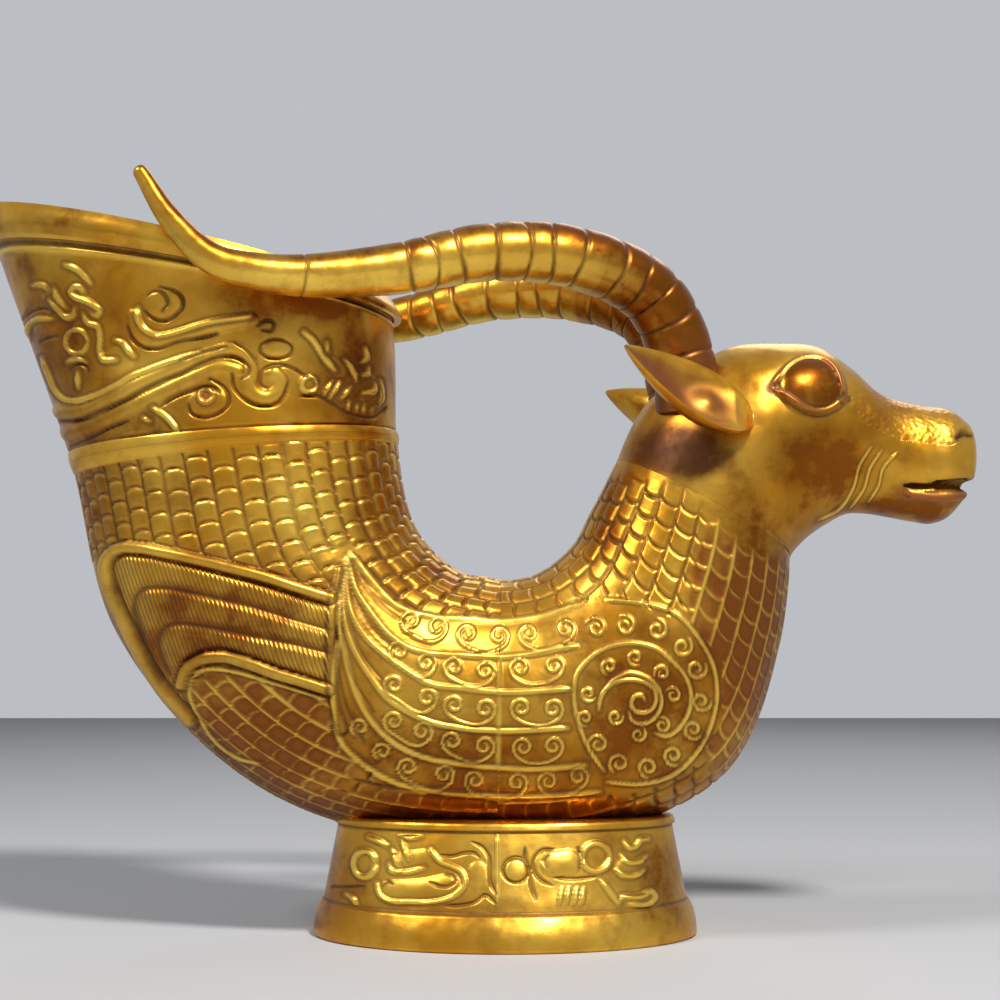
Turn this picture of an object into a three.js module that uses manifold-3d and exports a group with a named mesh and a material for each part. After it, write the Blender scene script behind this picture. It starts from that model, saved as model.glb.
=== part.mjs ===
// A gilt bronze wine cup: a horn-shaped vessel that bends under its belly and rises into an antelope's head.
// Millimetres, +Z up, +X towards the muzzle, +Y towards the animal's left side.
// The origin is on the table, under the middle of the whole cup.
import * as THREE from 'three';
import { mergeVertices } from 'three/addons/utils/BufferGeometryUtils.js';
import Module from 'manifold-3d';

const wasm = await Module();
wasm.setup();

// Overall size. The stations were drawn for the second pair and are stretched to the first.
const CUP_LENGTH = 250; // mouth to muzzle
const CUP_HEIGHT = 180; // table to the horns' tips
const DRAWN_LENGTH = 250;
const DRAWN_HEIGHT = 180;
const DRAWN_UNDERSIDE = 22.5; // of the belly, over the table

// Walls and fits
const WALL = 3; // cast wall of the vessel
const SOCKET_WALL = 1.5; // what a socket leaves of that wall
const FIT = 0.3; // clearance between pieces that seat on each other
const SEAM_LAP = 4; // depth of the sockets at the fillet and at the belly seam
const NECK_LAP = 7; // length of the head's spigot
const BULKHEAD = 2.5; // thickness of the plate that closes the neck

// Rim and fillet
const RIM_HEIGHT = 5.5;
const RIM_THICKNESS = 1.5;
const RIM_BULGE = 0.7; // how far the band swells in its middle
const RIM_TOP = 1.2;
const RIM_INNER_LIP = 3;
const FILLET_WIDTH = 4;
const FILLET_PROUD = 0.6;

// Foot
const FOOT_HEIGHT = 29;
const FOOT_LENGTH = 94;
const FOOT_BREADTH = 72;
const FOOT_TOP_LENGTH = 83;
const FOOT_TOP_BREADTH = 54;
const FOOT_WALL = 3;
const FOOT_PLATE = 3.5; // top plate with the saddle for the belly
const FOOT_BASE_BAND = 8;
const FOOT_BASE_BULGE = 0.5; // how far the base band swells in its middle
const FOOT_TOP_BAND = 2;
const FOOT_STEP = 0.8; // how far both bands stand out from the wall between them
const SEAT_DEPTH = 6.5; // how far the belly sinks below the top of the foot

// Stations along the vessel, mouth to neck. x is from the foot's middle and rise from the belly's underside,
// both to the middle of the section. turn is the angle from +X to the section's inner end, in degrees.
const BELLY_LENGTH = 64;
const STATIONS = {
  mouth: { x: -79.5, rise: 143.5, turn: -12.5, length: 104, breadth: 76 },
  flare: { x: -72, rise: 116, turn: -1, length: 89, breadth: 68 },
  fillet: { x: -67.5, rise: 96, turn: 5, length: 81, breadth: 65 },
  heel: { x: -59, rise: 63.5, turn: 19, length: 78.5, breadth: 63 },
  haunch: { x: -34.5, rise: 39, turn: 46, length: 73, breadth: 61 },
  belly: { x: -1.5, rise: BELLY_LENGTH / 2, turn: 89, length: BELLY_LENGTH, breadth: 59 },
  sternum: { x: 17, rise: 34, turn: 107, length: 65.5, breadth: 58 },
  breast: { x: 35.5, rise: 44.5, turn: 123.5, length: 67.5, breadth: 56 },
  throat: { x: 45, rise: 65, turn: 142, length: 57.5, breadth: 50 },
  neck: { x: 49.5, rise: 82, turn: 151, length: 49, breadth: 46 },
};

// Stations along the head, collar to lips, from the middle of the neck's end.
// taper is how much wider the section is at the brow than in its middle, as a share.
const HEAD_STATIONS = {
  collar: { x: 3, rise: 6, turn: 135, length: 52, breadth: 45, taper: 0 },
  nape: { x: 11.4, rise: 13.6, turn: 124, length: 51, breadth: 43, taper: 0.03 },
  poll: { x: 18.4, rise: 18, turn: 119, length: 50.5, breadth: 40, taper: 0.1 },
  eye: { x: 27.5, rise: 19.9, turn: 112, length: 46, breadth: 35.5, taper: 0.16 },
  brow: { x: 34.5, rise: 19.5, turn: 106, length: 43.5, breadth: 32, taper: 0.16 },
  cheek: { x: 41, rise: 16.7, turn: 104, length: 39, breadth: 28, taper: 0.08 },
  bridge: { x: 48.4, rise: 12.5, turn: 102.5, length: 32.5, breadth: 24.5, taper: 0 },
  muzzle: { x: 56.3, rise: 10.9, turn: 95, length: 29.5, breadth: 22.5, taper: 0 },
  nose: { x: 62, rise: 11.3, turn: 89, length: 26, breadth: 20, taper: 0 },
  lips: { x: 65.6, rise: 11.6, turn: 86, length: 19.5, breadth: 14.5, taper: 0 },
};
const NOSE_TIP = 2.4; // rounded end in front of the lips
const NOSE_TIP_SHARE = 0.5; // size of that end beside the lips
const MOUTH_CORNER = { x: 48, rise: 5.5, gape: 0.6 };
const MOUTH_GAPE = 3; // opening of the lips at the front
const NOSTRIL = { round: 42, long: 3, high: 1.8, deep: 2.2 };
const EYE = { round: 64, long: 6.2, high: 5.2, deep: 4.4, proud: 1.6 };
const EYE_SOCKET = { margin: 2, deep: 1.3 };
const EYELID = 1.1; // radius of the raised lid round the eye

// Horns
const HORN_ROOT_RADIUS = 8;
const HORN_TIP_RADIUS = 1.8;
const HORN_TAPER = 2; // a higher number keeps the horn thick for longer
const HORN_ROOT_BEHIND = 3.2; // behind the nape
const HORN_ROOT_GAP = 3.5; // between the two roots
const HORN_ARCH_REACH = 27.5; // from the root back to the top of the arch
const HORN_ARCH_RISE = 28.5;
const HORN_ARCH_SPREAD = 22; // from the middle plane to the horn at the top of the arch
const HORN_RUN_LIFT = 2.3; // over the straight line from the arch to the rim
const HORN_LIFT_SHARE = 0.27; // where on that line
const HORN_RUN_SAG = 0.9; // under the same line, farther on
const HORN_SAG_SHARE = 0.6;
// Along the rim from its middle towards the head. above is over the rim's top, and without it the horn lies
// at the foot of the band.
const HORN_REST = { along: 20, share: 0.76 };
const HORN_TIP_DIP = { along: 11.5, share: 0.82 };
const HORN_TIP_BEND = { along: 3, above: 3, share: 0.92 };
const HORN_TIP = { along: -1.2, above: 13.2, share: 1 };
const HORN_RINGS = 13;
const HORN_RINGED_SHARE = 0.6; // share of the horn that carries rings
const HORN_GROOVE = 0.6;
const HORN_TENON = { radius: 4, length: 8, inHorn: 8 };

// Ears
const EAR_LENGTH = 37;
const EAR_BREADTH = 17;
const EAR_DEPTH = 7;
const EAR_WALL = 2;
const EAR_ROOT_BEHIND = 1.1; // behind the nape
const EAR_ROOT_ROUND = 72; // degrees from the top of the head
const EAR_ROOT_SHARE = 0.02; // the part of a half wave that shapes the leaf, from its root
const EAR_TIP_SHARE = 0.985; // to its tip
const EAR_LEAN_POWER = 0.6; // a lower number moves the widest place towards the root
const EAR_FULL_POWER = 0.8; // a lower number makes the leaf fuller
const EAR_STEM_SHARE = 0.12; // share of the ear that is solid at its root
const EAR_HOLLOW_POWER = 0.6; // a lower number opens the hollow sooner
const EAR_CLOSED_SHARE = 0.92; // how much of the depth is metal where the hollow is closed
const EAR_LIP_SHARE = 0.45; // width of the leaf's edge beside the wall
const EAR_LINE = { x: -27.5, y: 19, z: 15 }; // root to tip, on the animal's left side
const EAR_FACE = { x: 0.3, y: 0.8, z: 0.55 }; // where the hollow looks, on the same side
const EAR_TENON = { radius: 1.2, length: 6, inLeaf: 3.5 };

// Facets
const SIDES = 36;
const HORN_SIDES = 12;
const HORN_TIP_SECTIONS = 11;
const EAR_SIDES = 9;
const EAR_SECTIONS = 9;
const PEG_SIDES = 16;
const BALL_SIDES = 14;
const LID_SIDES = 18;
const STEP = 7; // distance between rings along the outside of the vessel
const INNER_STEP = 13; // and along its inside
const HEAD_STEP = 4; // and along the head

const UP = new THREE.Vector3(0, 0, 1);
const SIDEWAYS = new THREE.Vector3(0, 1, 0);
const UNDERSIDE = FOOT_HEIGHT - SEAT_DEPTH;
const LONG = CUP_LENGTH / DRAWN_LENGTH;
const TALL = (CUP_HEIGHT - UNDERSIDE) / (DRAWN_HEIGHT - DRAWN_UNDERSIDE);

// Surfaces from rings of points

// Joins rings that have the same number of points. The last ring joins the first again, or both ends
// are closed.
function loft(rings, endless) {
  const sides = rings[0].length;
  const points = rings.flat();
  const index = [];
  const bands = endless ? rings.length : rings.length - 1;
  for (let i = 0; i < bands; i++) {
    const low = i * sides;
    const high = ((i + 1) % rings.length) * sides;
    for (let j = 0; j < sides; j++) {
      const k = (j + 1) % sides;
      index.push(low + j, low + k, high + k, low + j, high + k, high + j);
    }
  }
  if (!endless) {
    for (const [ring, first, turned] of [
      [rings[0], 0, true],
      [rings.at(-1), (rings.length - 1) * sides, false],
    ]) {
      const middle = ring.reduce((sum, p) => sum.add(p), new THREE.Vector3()).divideScalar(sides);
      const hub = points.push(middle) - 1;
      for (let j = 0; j < sides; j++) {
        const k = (j + 1) % sides;
        index.push(hub, first + (turned ? k : j), first + (turned ? j : k));
      }
    }
  }
  const geometry = new THREE.BufferGeometry().setFromPoints(points);
  geometry.setIndex(index);
  return facingOut(geometry);
}

// Turns the faces round if the surface encloses a negative volume.
function facingOut(geometry) {
  const index = geometry.index.array;
  const place = geometry.attributes.position;
  const [a, b, c] = [new THREE.Vector3(), new THREE.Vector3(), new THREE.Vector3()];
  let volume = 0;
  for (let i = 0; i < index.length; i += 3) {
    a.fromBufferAttribute(place, index[i]);
    b.fromBufferAttribute(place, index[i + 1]);
    c.fromBufferAttribute(place, index[i + 2]);
    volume += a.dot(b.cross(c));
  }
  if (volume < 0) geometry.setIndex(Array.from(index).reverse());
  return geometry;
}

function ellipse(middle, across, half, sideways, halfBreadth, sides = SIDES, taper = 0) {
  return Array.from({ length: sides }, (_, i) => {
    const round = (2 * Math.PI * i) / sides;
    const breadth = halfBreadth * (1 + taper * Math.cos(round));
    return middle
      .clone()
      .addScaledVector(across, half * Math.cos(round))
      .addScaledVector(sideways, breadth * Math.sin(round));
  });
}

function spread(from, to, count) {
  return Array.from({ length: count + 1 }, (_, i) => from + ((to - from) * i) / count);
}

// Solids and cuts

function solid(geometry) {
  const bare = geometry.clone();
  bare.deleteAttribute('normal');
  bare.deleteAttribute('uv');
  const merged = mergeVertices(bare, 1e-4);
  return new wasm.Manifold(
    new wasm.Mesh({
      numProp: 3,
      vertProperties: new Float32Array(merged.attributes.position.array),
      triVerts: new Uint32Array(merged.index.array),
    }),
  );
}

function geometryOf(made) {
  const mesh = made.getMesh();
  const geometry = new THREE.BufferGeometry();
  geometry.setAttribute('position', new THREE.BufferAttribute(new Float32Array(mesh.vertProperties), 3));
  geometry.setIndex(Array.from(mesh.triVerts));
  return geometry;
}

function peg(from, direction, radius, length) {
  const geometry = new THREE.CylinderGeometry(radius, radius, length, PEG_SIDES);
  geometry.applyQuaternion(new THREE.Quaternion().setFromUnitVectors(SIDEWAYS, direction));
  const middle = from.clone().addScaledVector(direction, length / 2);
  return solid(geometry.translate(middle.x, middle.y, middle.z));
}

// An axis system on a surface: x runs along the head, z looks out of the surface.
function standOn({ point, out }) {
  const along = new THREE.Vector3(1, 0, 0).addScaledVector(out, -out.x).normalize();
  const basis = new THREE.Matrix4().makeBasis(along, new THREE.Vector3().crossVectors(out, along), out);
  return basis.setPosition(point);
}

function ellipsoid(place, long, high, deep, lift) {
  const geometry = new THREE.SphereGeometry(1, BALL_SIDES, BALL_SIDES / 2);
  geometry.scale(long, high, deep).translate(0, 0, lift);
  return solid(geometry.applyMatrix4(place));
}

// Courses through stations

// A smooth course through numbers at given places: a cubic between each two, with the slope of the parabola
// through a place and its two neighbours.
function course(places, numbers) {
  const last = places.length - 1;
  const grade = (i) => (numbers[i + 1] - numbers[i]) / (places[i + 1] - places[i]);
  const slopes = places.map((place, i) => {
    if (i === 0) return grade(0);
    if (i === last) return grade(last - 1);
    const before = place - places[i - 1];
    const after = places[i + 1] - place;
    return (grade(i - 1) * after + grade(i) * before) / (before + after);
  });
  return (t) => {
    let i = 0;
    while (i < last - 1 && t > places[i + 1]) i++;
    const span = places[i + 1] - places[i];
    const u = (t - places[i]) / span;
    return (
      numbers[i] * (1 + 2 * u) * (1 - u) ** 2 +
      slopes[i] * span * u * (1 - u) ** 2 +
      numbers[i + 1] * u ** 2 * (3 - 2 * u) +
      slopes[i + 1] * span * u ** 2 * (u - 1)
    );
  };
}

// A surface through oval sections. A place on it is a distance along the line through the sections' middles.
function surfaceThrough(sections) {
  const places = [0];
  for (let i = 1; i < sections.length; i++) {
    const { x, z } = sections[i];
    places.push(places[i - 1] + Math.hypot(x - sections[i - 1].x, z - sections[i - 1].z));
  }
  const along = (size) => course(places, sections.map(size));
  const [x, z] = [along((s) => s.x), along((s) => s.z)];
  const [half, halfBreadth] = [along((s) => s.height / 2), along((s) => s.breadth / 2)];
  const [turn, taper] = [along((s) => s.turn), along((s) => s.taper)];
  const middle = (t) => new THREE.Vector3(x(t), 0, z(t));
  const tangent = (t) => middle(t + 0.1).sub(middle(t - 0.1)).normalize();
  const section = (t) => {
    const angle = THREE.MathUtils.degToRad(turn(t));
    return {
      middle: middle(t),
      across: new THREE.Vector3(Math.cos(angle), 0, Math.sin(angle)),
      half: half(t),
      halfBreadth: halfBreadth(t),
      taper: taper(t),
    };
  };
  // A ring of points, moved out of the surface by offset and along the line of the middles by shift.
  const ring = (t, offset = 0, shift = 0) => {
    const oval = section(t);
    oval.middle.addScaledVector(tangent(t), shift);
    return ellipse(
      oval.middle,
      oval.across,
      oval.half + offset,
      SIDEWAYS,
      oval.halfBreadth + offset,
      SIDES,
      oval.taper,
    );
  };
  const rings = (from, to, offset = 0, step = STEP) => {
    return spread(from, to, Math.max(1, Math.round(Math.abs(to - from) / step))).map((t) => ring(t, offset));
  };
  // A point on the surface, round degrees from the inner end of the section, and the way out of it there.
  const point = (t, round, side) => {
    const oval = section(t);
    const angle = THREE.MathUtils.degToRad(round);
    const breadth = oval.halfBreadth * (1 + oval.taper * Math.cos(angle));
    const out = oval.across
      .clone()
      .multiplyScalar(Math.cos(angle) / oval.half)
      .addScaledVector(SIDEWAYS, (side * Math.sin(angle)) / breadth)
      .normalize();
    oval.middle
      .addScaledVector(oval.across, oval.half * Math.cos(angle))
      .addScaledVector(SIDEWAYS, side * breadth * Math.sin(angle));
    return { point: oval.middle, out };
  };
  return { places, end: places.at(-1), section, tangent, ring, rings, point };
}

// A station after the stretch, with its section turned and lengthened as the stretch asks.
function stretched({ x, rise, turn, length, breadth, taper = 0 }, startX, startZ) {
  const angle = THREE.MathUtils.degToRad(turn);
  const [across, up] = [LONG * Math.cos(angle), TALL * Math.sin(angle)];
  return {
    x: startX + LONG * x,
    z: startZ + TALL * rise,
    turn: THREE.MathUtils.radToDeg(Math.atan2(up, across)),
    height: length * Math.hypot(across, up),
    breadth,
    taper,
  };
}

// The vessel

const vesselSections = Object.values(STATIONS).map((station) => stretched(station, 0, UNDERSIDE));
const vessel = surfaceThrough(vesselSections);
const { ring, rings } = vessel;
const at = (name) => vessel.places[Object.keys(STATIONS).indexOf(name)];

const FILLET = at('fillet');
const SEAM = at('belly');
const NECK = vessel.end;
const SPIGOT = SOCKET_WALL + FIT;

function mouthRim() {
  const outer = FIT + RIM_THICKNESS;
  const inner = WALL + FIT + RIM_THICKNESS;
  return loft(
    [
      ring(RIM_HEIGHT, FIT),
      ring(RIM_HEIGHT, outer - RIM_THICKNESS / 3),
      ring(RIM_HEIGHT - RIM_THICKNESS / 2, outer),
      ring(RIM_HEIGHT / 2, outer + RIM_BULGE),
      ring(0, outer),
      ring(0, outer - RIM_THICKNESS / 2, -FIT - RIM_TOP),
      ring(0, -inner + RIM_THICKNESS / 2, -FIT - RIM_TOP),
      ring(0, -inner),
      ring(RIM_INNER_LIP, -inner),
      ring(RIM_INNER_LIP, -WALL - FIT),
      ring(0, -WALL - FIT, -FIT),
      ring(0, FIT, -FIT),
      ring(0, FIT),
    ],
    true,
  );
}

function cupBell() {
  const filletTop = FILLET - FILLET_WIDTH / 2;
  const spigotEnd = FILLET + SEAM_LAP - FIT;
  return loft(
    [
      ...rings(0, filletTop),
      ring(filletTop, FILLET_PROUD),
      ring(FILLET, FILLET_PROUD, -FIT / 2),
      ring(FILLET, -SPIGOT, -FIT / 2),
      ring(spigotEnd, -SPIGOT),
      ...rings(spigotEnd, 0, -WALL, INNER_STEP),
    ],
    true,
  );
}

// The outside of the two body castings, up to their seam and from it.
const FILLET_FOOT = FILLET + FILLET_WIDTH / 2;
const rearOutside = (offset) => rings(FILLET_FOOT, SEAM - SEAM_LAP, offset);
const frontOutside = (offset) => rings(SEAM + SEAM_LAP, NECK, offset);

function rearBelly() {
  const topSocket = FILLET + SEAM_LAP;
  const seamSocket = SEAM - SEAM_LAP;
  return loft(
    [
      ring(FILLET, FILLET_PROUD, FIT / 2),
      ring(FILLET_FOOT, FILLET_PROUD),
      ...rearOutside(0),
      ring(SEAM, 0, -FIT / 2),
      ring(SEAM, -SOCKET_WALL, -FIT / 2),
      ring(seamSocket, -SOCKET_WALL),
      ...rings(seamSocket, topSocket, -WALL, INNER_STEP),
      ring(topSocket, -SOCKET_WALL),
      ring(FILLET, -SOCKET_WALL, FIT / 2),
    ],
    true,
  );
}

// The step in the neck's socket that carries the bulkhead
const NECK_LEDGE = NECK - NECK_LAP - BULKHEAD - 2 * FIT;

function frontBody() {
  const spigotEnd = SEAM - SEAM_LAP + FIT;
  return loft(
    [
      ring(spigotEnd, -SPIGOT),
      ring(SEAM, -SPIGOT, FIT / 2),
      ring(SEAM, 0, FIT / 2),
      ...frontOutside(0),
      ...rings(NECK, NECK_LEDGE, -SOCKET_WALL),
      ...rings(NECK_LEDGE, spigotEnd, -WALL, INNER_STEP),
    ],
    true,
  );
}

function neckBulkhead() {
  const low = NECK_LEDGE + FIT;
  return loft([ring(low, -SPIGOT), ring(low + BULKHEAD, -SPIGOT)], false);
}

// The belly's outside, as a tool that cuts the saddle in the foot.
function bellyBlank() {
  return solid(loft([...rearOutside(FIT), ring(SEAM, FIT), ...frontOutside(FIT)], false));
}

function foot() {
  const wide = (z, outset) => {
    const share = z / FOOT_HEIGHT;
    return ellipse(
      new THREE.Vector3(0, 0, z),
      new THREE.Vector3(1, 0, 0),
      THREE.MathUtils.lerp(FOOT_LENGTH, FOOT_TOP_LENGTH, share) / 2 + outset,
      SIDEWAYS,
      THREE.MathUtils.lerp(FOOT_BREADTH, FOOT_TOP_BREADTH, share) / 2 + outset,
    );
  };
  const underPlate = FOOT_HEIGHT - FOOT_PLATE;
  const topBand = FOOT_HEIGHT - FOOT_TOP_BAND;
  const shell = loft(
    [
      wide(FOOT_HEIGHT, -FOOT_STEP),
      wide(FOOT_HEIGHT - FOOT_STEP, 0),
      wide(topBand, 0),
      wide(topBand, -FOOT_STEP),
      wide(FOOT_BASE_BAND + FOOT_STEP, -FOOT_STEP),
      wide(FOOT_BASE_BAND, 0),
      wide(FOOT_BASE_BAND / 2, FOOT_BASE_BULGE),
      wide(0, 0),
      wide(0, -FOOT_WALL - FOOT_STEP),
      wide(underPlate, -FOOT_WALL - FOOT_STEP),
    ],
    false,
  );
  return geometryOf(solid(shell).subtract(bellyBlank()));
}

// The head

const neckEnd = vessel.section(NECK).middle;
const skull = surfaceThrough([
  vesselSections.at(-1),
  ...Object.values(HEAD_STATIONS).map((station) => stretched(station, neckEnd.x, neckEnd.z)),
]);
const onHead = (name) => skull.places[Object.keys(HEAD_STATIONS).indexOf(name) + 1];
const lips = skull.section(skull.end);

// The head's outside from just above the neck to the rounded end of the nose.
function headOutside(offset) {
  const forward = new THREE.Vector3().crossVectors(SIDEWAYS, lips.across);
  const tip = ellipse(
    lips.middle.clone().addScaledVector(forward, NOSE_TIP + offset),
    lips.across,
    lips.half * NOSE_TIP_SHARE + offset,
    SIDEWAYS,
    lips.halfBreadth * NOSE_TIP_SHARE + offset,
  );
  return [...skull.rings(0, skull.end, offset, HEAD_STEP).slice(1), tip];
}

// A blank that stands off the head by the clearance, and cuts the seats of the horns and the ears.
const headSeat = solid(loft([ring(NECK, FIT), ...headOutside(FIT)], false));

function mouthSlit() {
  const corner = neckEnd.clone().add(new THREE.Vector3(LONG * MOUTH_CORNER.x, 0, TALL * MOUTH_CORNER.rise));
  const reach = lips.middle.x + 2 * NOSE_TIP - corner.x;
  const breadth = HEAD_STATIONS.bridge.breadth * 2;
  const wedge = new THREE.Shape([
    new THREE.Vector2(0, -MOUTH_CORNER.gape / 2),
    new THREE.Vector2(reach, -MOUTH_GAPE / 2),
    new THREE.Vector2(reach, MOUTH_GAPE / 2),
    new THREE.Vector2(0, MOUTH_CORNER.gape / 2),
  ]);
  const geometry = new THREE.ExtrudeGeometry(wedge, { depth: breadth, bevelEnabled: false });
  geometry.translate(0, 0, -breadth / 2).rotateX(Math.PI / 2);
  return solid(geometry.translate(corner.x, 0, corner.z));
}

function eyelid(place) {
  const geometry = new THREE.TorusGeometry(1, EYELID / EYE.long, LID_SIDES / 3, LID_SIDES);
  geometry.scale(EYE.long + EYELID, EYE.high + EYELID, EYE.long);
  return solid(geometry.applyMatrix4(place));
}

function head() {
  const spigot = [ring(NECK - NECK_LAP, -SPIGOT), ring(NECK, -SPIGOT, FIT)];
  let made = solid(loft([...spigot, ring(NECK, 0, FIT), ...headOutside(0)], false));
  made = made.subtract(mouthSlit());
  for (const side of [1, -1]) {
    const nostril = standOn(skull.point(onHead('nose'), NOSTRIL.round, side));
    made = made.subtract(ellipsoid(nostril, NOSTRIL.long, NOSTRIL.high, NOSTRIL.deep, 0));
    const eye = standOn(skull.point(onHead('eye'), EYE.round, side));
    const { margin, deep } = EYE_SOCKET;
    made = made
      .subtract(ellipsoid(eye, EYE.long + margin, EYE.high + margin, deep, 0))
      .add(ellipsoid(eye, EYE.long, EYE.high, EYE.deep, EYE.proud - EYE.deep))
      .add(eyelid(eye));
    made = made.subtract(hornTenon(side, FIT)).subtract(earTenon(side, FIT));
  }
  return geometryOf(made);
}

// The horns

// A point beside the rim, where a horn of some radius lies against the band.
function besideRim(side, along, above, radius) {
  const { middle, across, half, halfBreadth } = vessel.section(0);
  const round = Math.acos(along / half);
  const breadth = halfBreadth + FIT + RIM_THICKNESS + RIM_BULGE;
  const out = across
    .clone()
    .multiplyScalar(Math.cos(round) / half)
    .addScaledVector(SIDEWAYS, (side * Math.sin(round)) / breadth)
    .normalize();
  return middle
    .addScaledVector(across, along)
    .addScaledVector(SIDEWAYS, side * breadth * Math.sin(round))
    .addScaledVector(out, radius + FIT)
    .addScaledVector(vessel.tangent(0), -above);
}

const hornRadius = (share) => {
  return HORN_TIP_RADIUS + (HORN_ROOT_RADIUS - HORN_TIP_RADIUS) * (1 - share ** HORN_TAPER);
};

// The two roots stand side by side on the crown, a small gap apart.
function hornRoot(side) {
  const along = onHead('nape') - HORN_ROOT_BEHIND;
  const { halfBreadth } = skull.section(along);
  const round = Math.asin((HORN_ROOT_RADIUS + HORN_ROOT_GAP / 2) / halfBreadth);
  return skull.point(along, THREE.MathUtils.radToDeg(round), side).point;
}

// Root, quarter of an arch, a nearly straight run to the rim, and the tip that curls up beside the mouth.
function hornLine(side) {
  const root = hornRoot(side);
  const arch = (turn) => new THREE.Vector3(
    root.x - LONG * HORN_ARCH_REACH * (1 - Math.cos(turn)),
    THREE.MathUtils.lerp(root.y, side * HORN_ARCH_SPREAD, 1 - Math.cos(turn)),
    root.z + TALL * HORN_ARCH_RISE * Math.sin(turn),
  );
  const top = arch(Math.PI / 2);
  const beside = ({ along, above, share }) => {
    return besideRim(side, LONG * along, above ? TALL * above : -RIM_HEIGHT, hornRadius(share));
  };
  const rest = beside(HORN_REST);
  const run = [
    top.clone().lerp(rest, HORN_LIFT_SHARE).addScaledVector(UP, HORN_RUN_LIFT),
    top.clone().lerp(rest, HORN_SAG_SHARE).addScaledVector(UP, -HORN_RUN_SAG),
  ];
  const tip = [HORN_TIP_DIP, HORN_TIP_BEND, HORN_TIP].map(beside);
  return new THREE.CatmullRomCurve3([root, arch(Math.PI / 4), top, ...run, rest, ...tip]);
}

function hornAxis(side) {
  return hornLine(side).getTangent(0);
}

// The peg under the horn, or its socket when it has a clearance.
function hornTenon(side, clearance) {
  const axis = hornAxis(side).negate();
  const { radius, length, inHorn } = HORN_TENON;
  const top = hornRoot(side).addScaledVector(axis, -inHorn);
  return peg(top, axis, radius + clearance, inHorn + length + clearance);
}

// Rings stand between narrow grooves on the thick part, and the tip is smooth.
function horn(side) {
  const line = hornLine(side);
  const pitch = HORN_RINGED_SHARE / HORN_RINGS;
  const ridges = [];
  for (let i = 0; i < HORN_RINGS; i++) {
    ridges.push([i * pitch, HORN_GROOVE], [(i + 0.25) * pitch, 0], [(i + 0.75) * pitch, 0]);
  }
  const smooth = spread(HORN_RINGED_SHARE, 1, HORN_TIP_SECTIONS).map((share) => [share, 0]);
  const sections = [...ridges, ...smooth].map(([share, cut]) => {
    const tangent = line.getTangentAt(share);
    const across = SIDEWAYS.clone().addScaledVector(tangent, -tangent.y).normalize();
    const over = new THREE.Vector3().crossVectors(tangent, across);
    const radius = hornRadius(share) - cut;
    return ellipse(line.getPointAt(share), across, radius, over, radius, HORN_SIDES);
  });
  const axis = hornAxis(side).negate();
  const buried = sections[0].map((p) => p.clone().addScaledVector(axis, HORN_ROOT_RADIUS));
  const shaft = solid(loft([buried, ...sections], false)).subtract(headSeat);
  return geometryOf(shaft.add(hornTenon(side, 0)));
}

// The ears

function earPlace(side) {
  const { point } = skull.point(onHead('nape') - EAR_ROOT_BEHIND, EAR_ROOT_ROUND, side);
  const line = new THREE.Vector3(EAR_LINE.x, side * EAR_LINE.y, EAR_LINE.z).normalize();
  const face = new THREE.Vector3(EAR_FACE.x, side * EAR_FACE.y, EAR_FACE.z);
  face.addScaledVector(line, -face.dot(line)).normalize();
  return { root: point, line, face, across: new THREE.Vector3().crossVectors(line, face) };
}

const earSwell = (share) => {
  const leant = THREE.MathUtils.lerp(EAR_ROOT_SHARE, EAR_TIP_SHARE, share) ** EAR_LEAN_POWER;
  return Math.sin(Math.PI * leant) ** EAR_FULL_POWER;
};

// The peg down the middle of the ear's solid stem, or its socket when it has a clearance.
function earTenon(side, clearance) {
  const { root, line, face } = earPlace(side);
  const { radius, length, inLeaf } = EAR_TENON;
  const top = root.addScaledVector(face, (-EAR_DEPTH * earSwell(0)) / 2).addScaledVector(line, inLeaf);
  return peg(top, line.negate(), radius + clearance, inLeaf + length + clearance);
}

// A leaf-shaped scoop: each section is a crescent that is closed at the root and at the tip.
function ear(side) {
  const { root, line, face, across } = earPlace(side);
  const crescent = (share) => {
    const swell = earSwell(share);
    const hollowShare = Math.max(0, (share - EAR_STEM_SHARE) / (1 - EAR_STEM_SHARE));
    const open = Math.sin(Math.PI * hollowShare) ** EAR_HOLLOW_POWER;
    const wide = (EAR_BREADTH / 2) * swell;
    const deep = EAR_DEPTH * swell;
    const thick = THREE.MathUtils.lerp(deep * EAR_CLOSED_SHARE, Math.min(EAR_WALL, deep / 2), open);
    const middle = root.clone().addScaledVector(line, EAR_LENGTH * share);
    const arc = (half, depth, turn) => middle
      .clone()
      .addScaledVector(across, half * Math.cos(turn))
      .addScaledVector(face, -depth * Math.sin(turn));
    const turns = spread(0, Math.PI, EAR_SIDES);
    const hollow = turns.slice(1, -1).reverse();
    const rim = wide - thick * EAR_LIP_SHARE;
    return [...turns.map((v) => arc(wide, deep, v)), ...hollow.map((v) => arc(rim, deep - thick, v))];
  };
  const shares = spread(0, 1, EAR_SECTIONS);
  const buried = crescent(0).map((p) => p.clone().addScaledVector(line, -EAR_TENON.length));
  const leaf = solid(loft([buried, ...shares.map(crescent)], false)).subtract(headSeat);
  return geometryOf(leaf.add(earTenon(side, 0)));
}

// The assembly

function gilt(colour, roughness) {
  return new THREE.MeshStandardMaterial({ color: colour, roughness, metalness: 1 });
}

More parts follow.
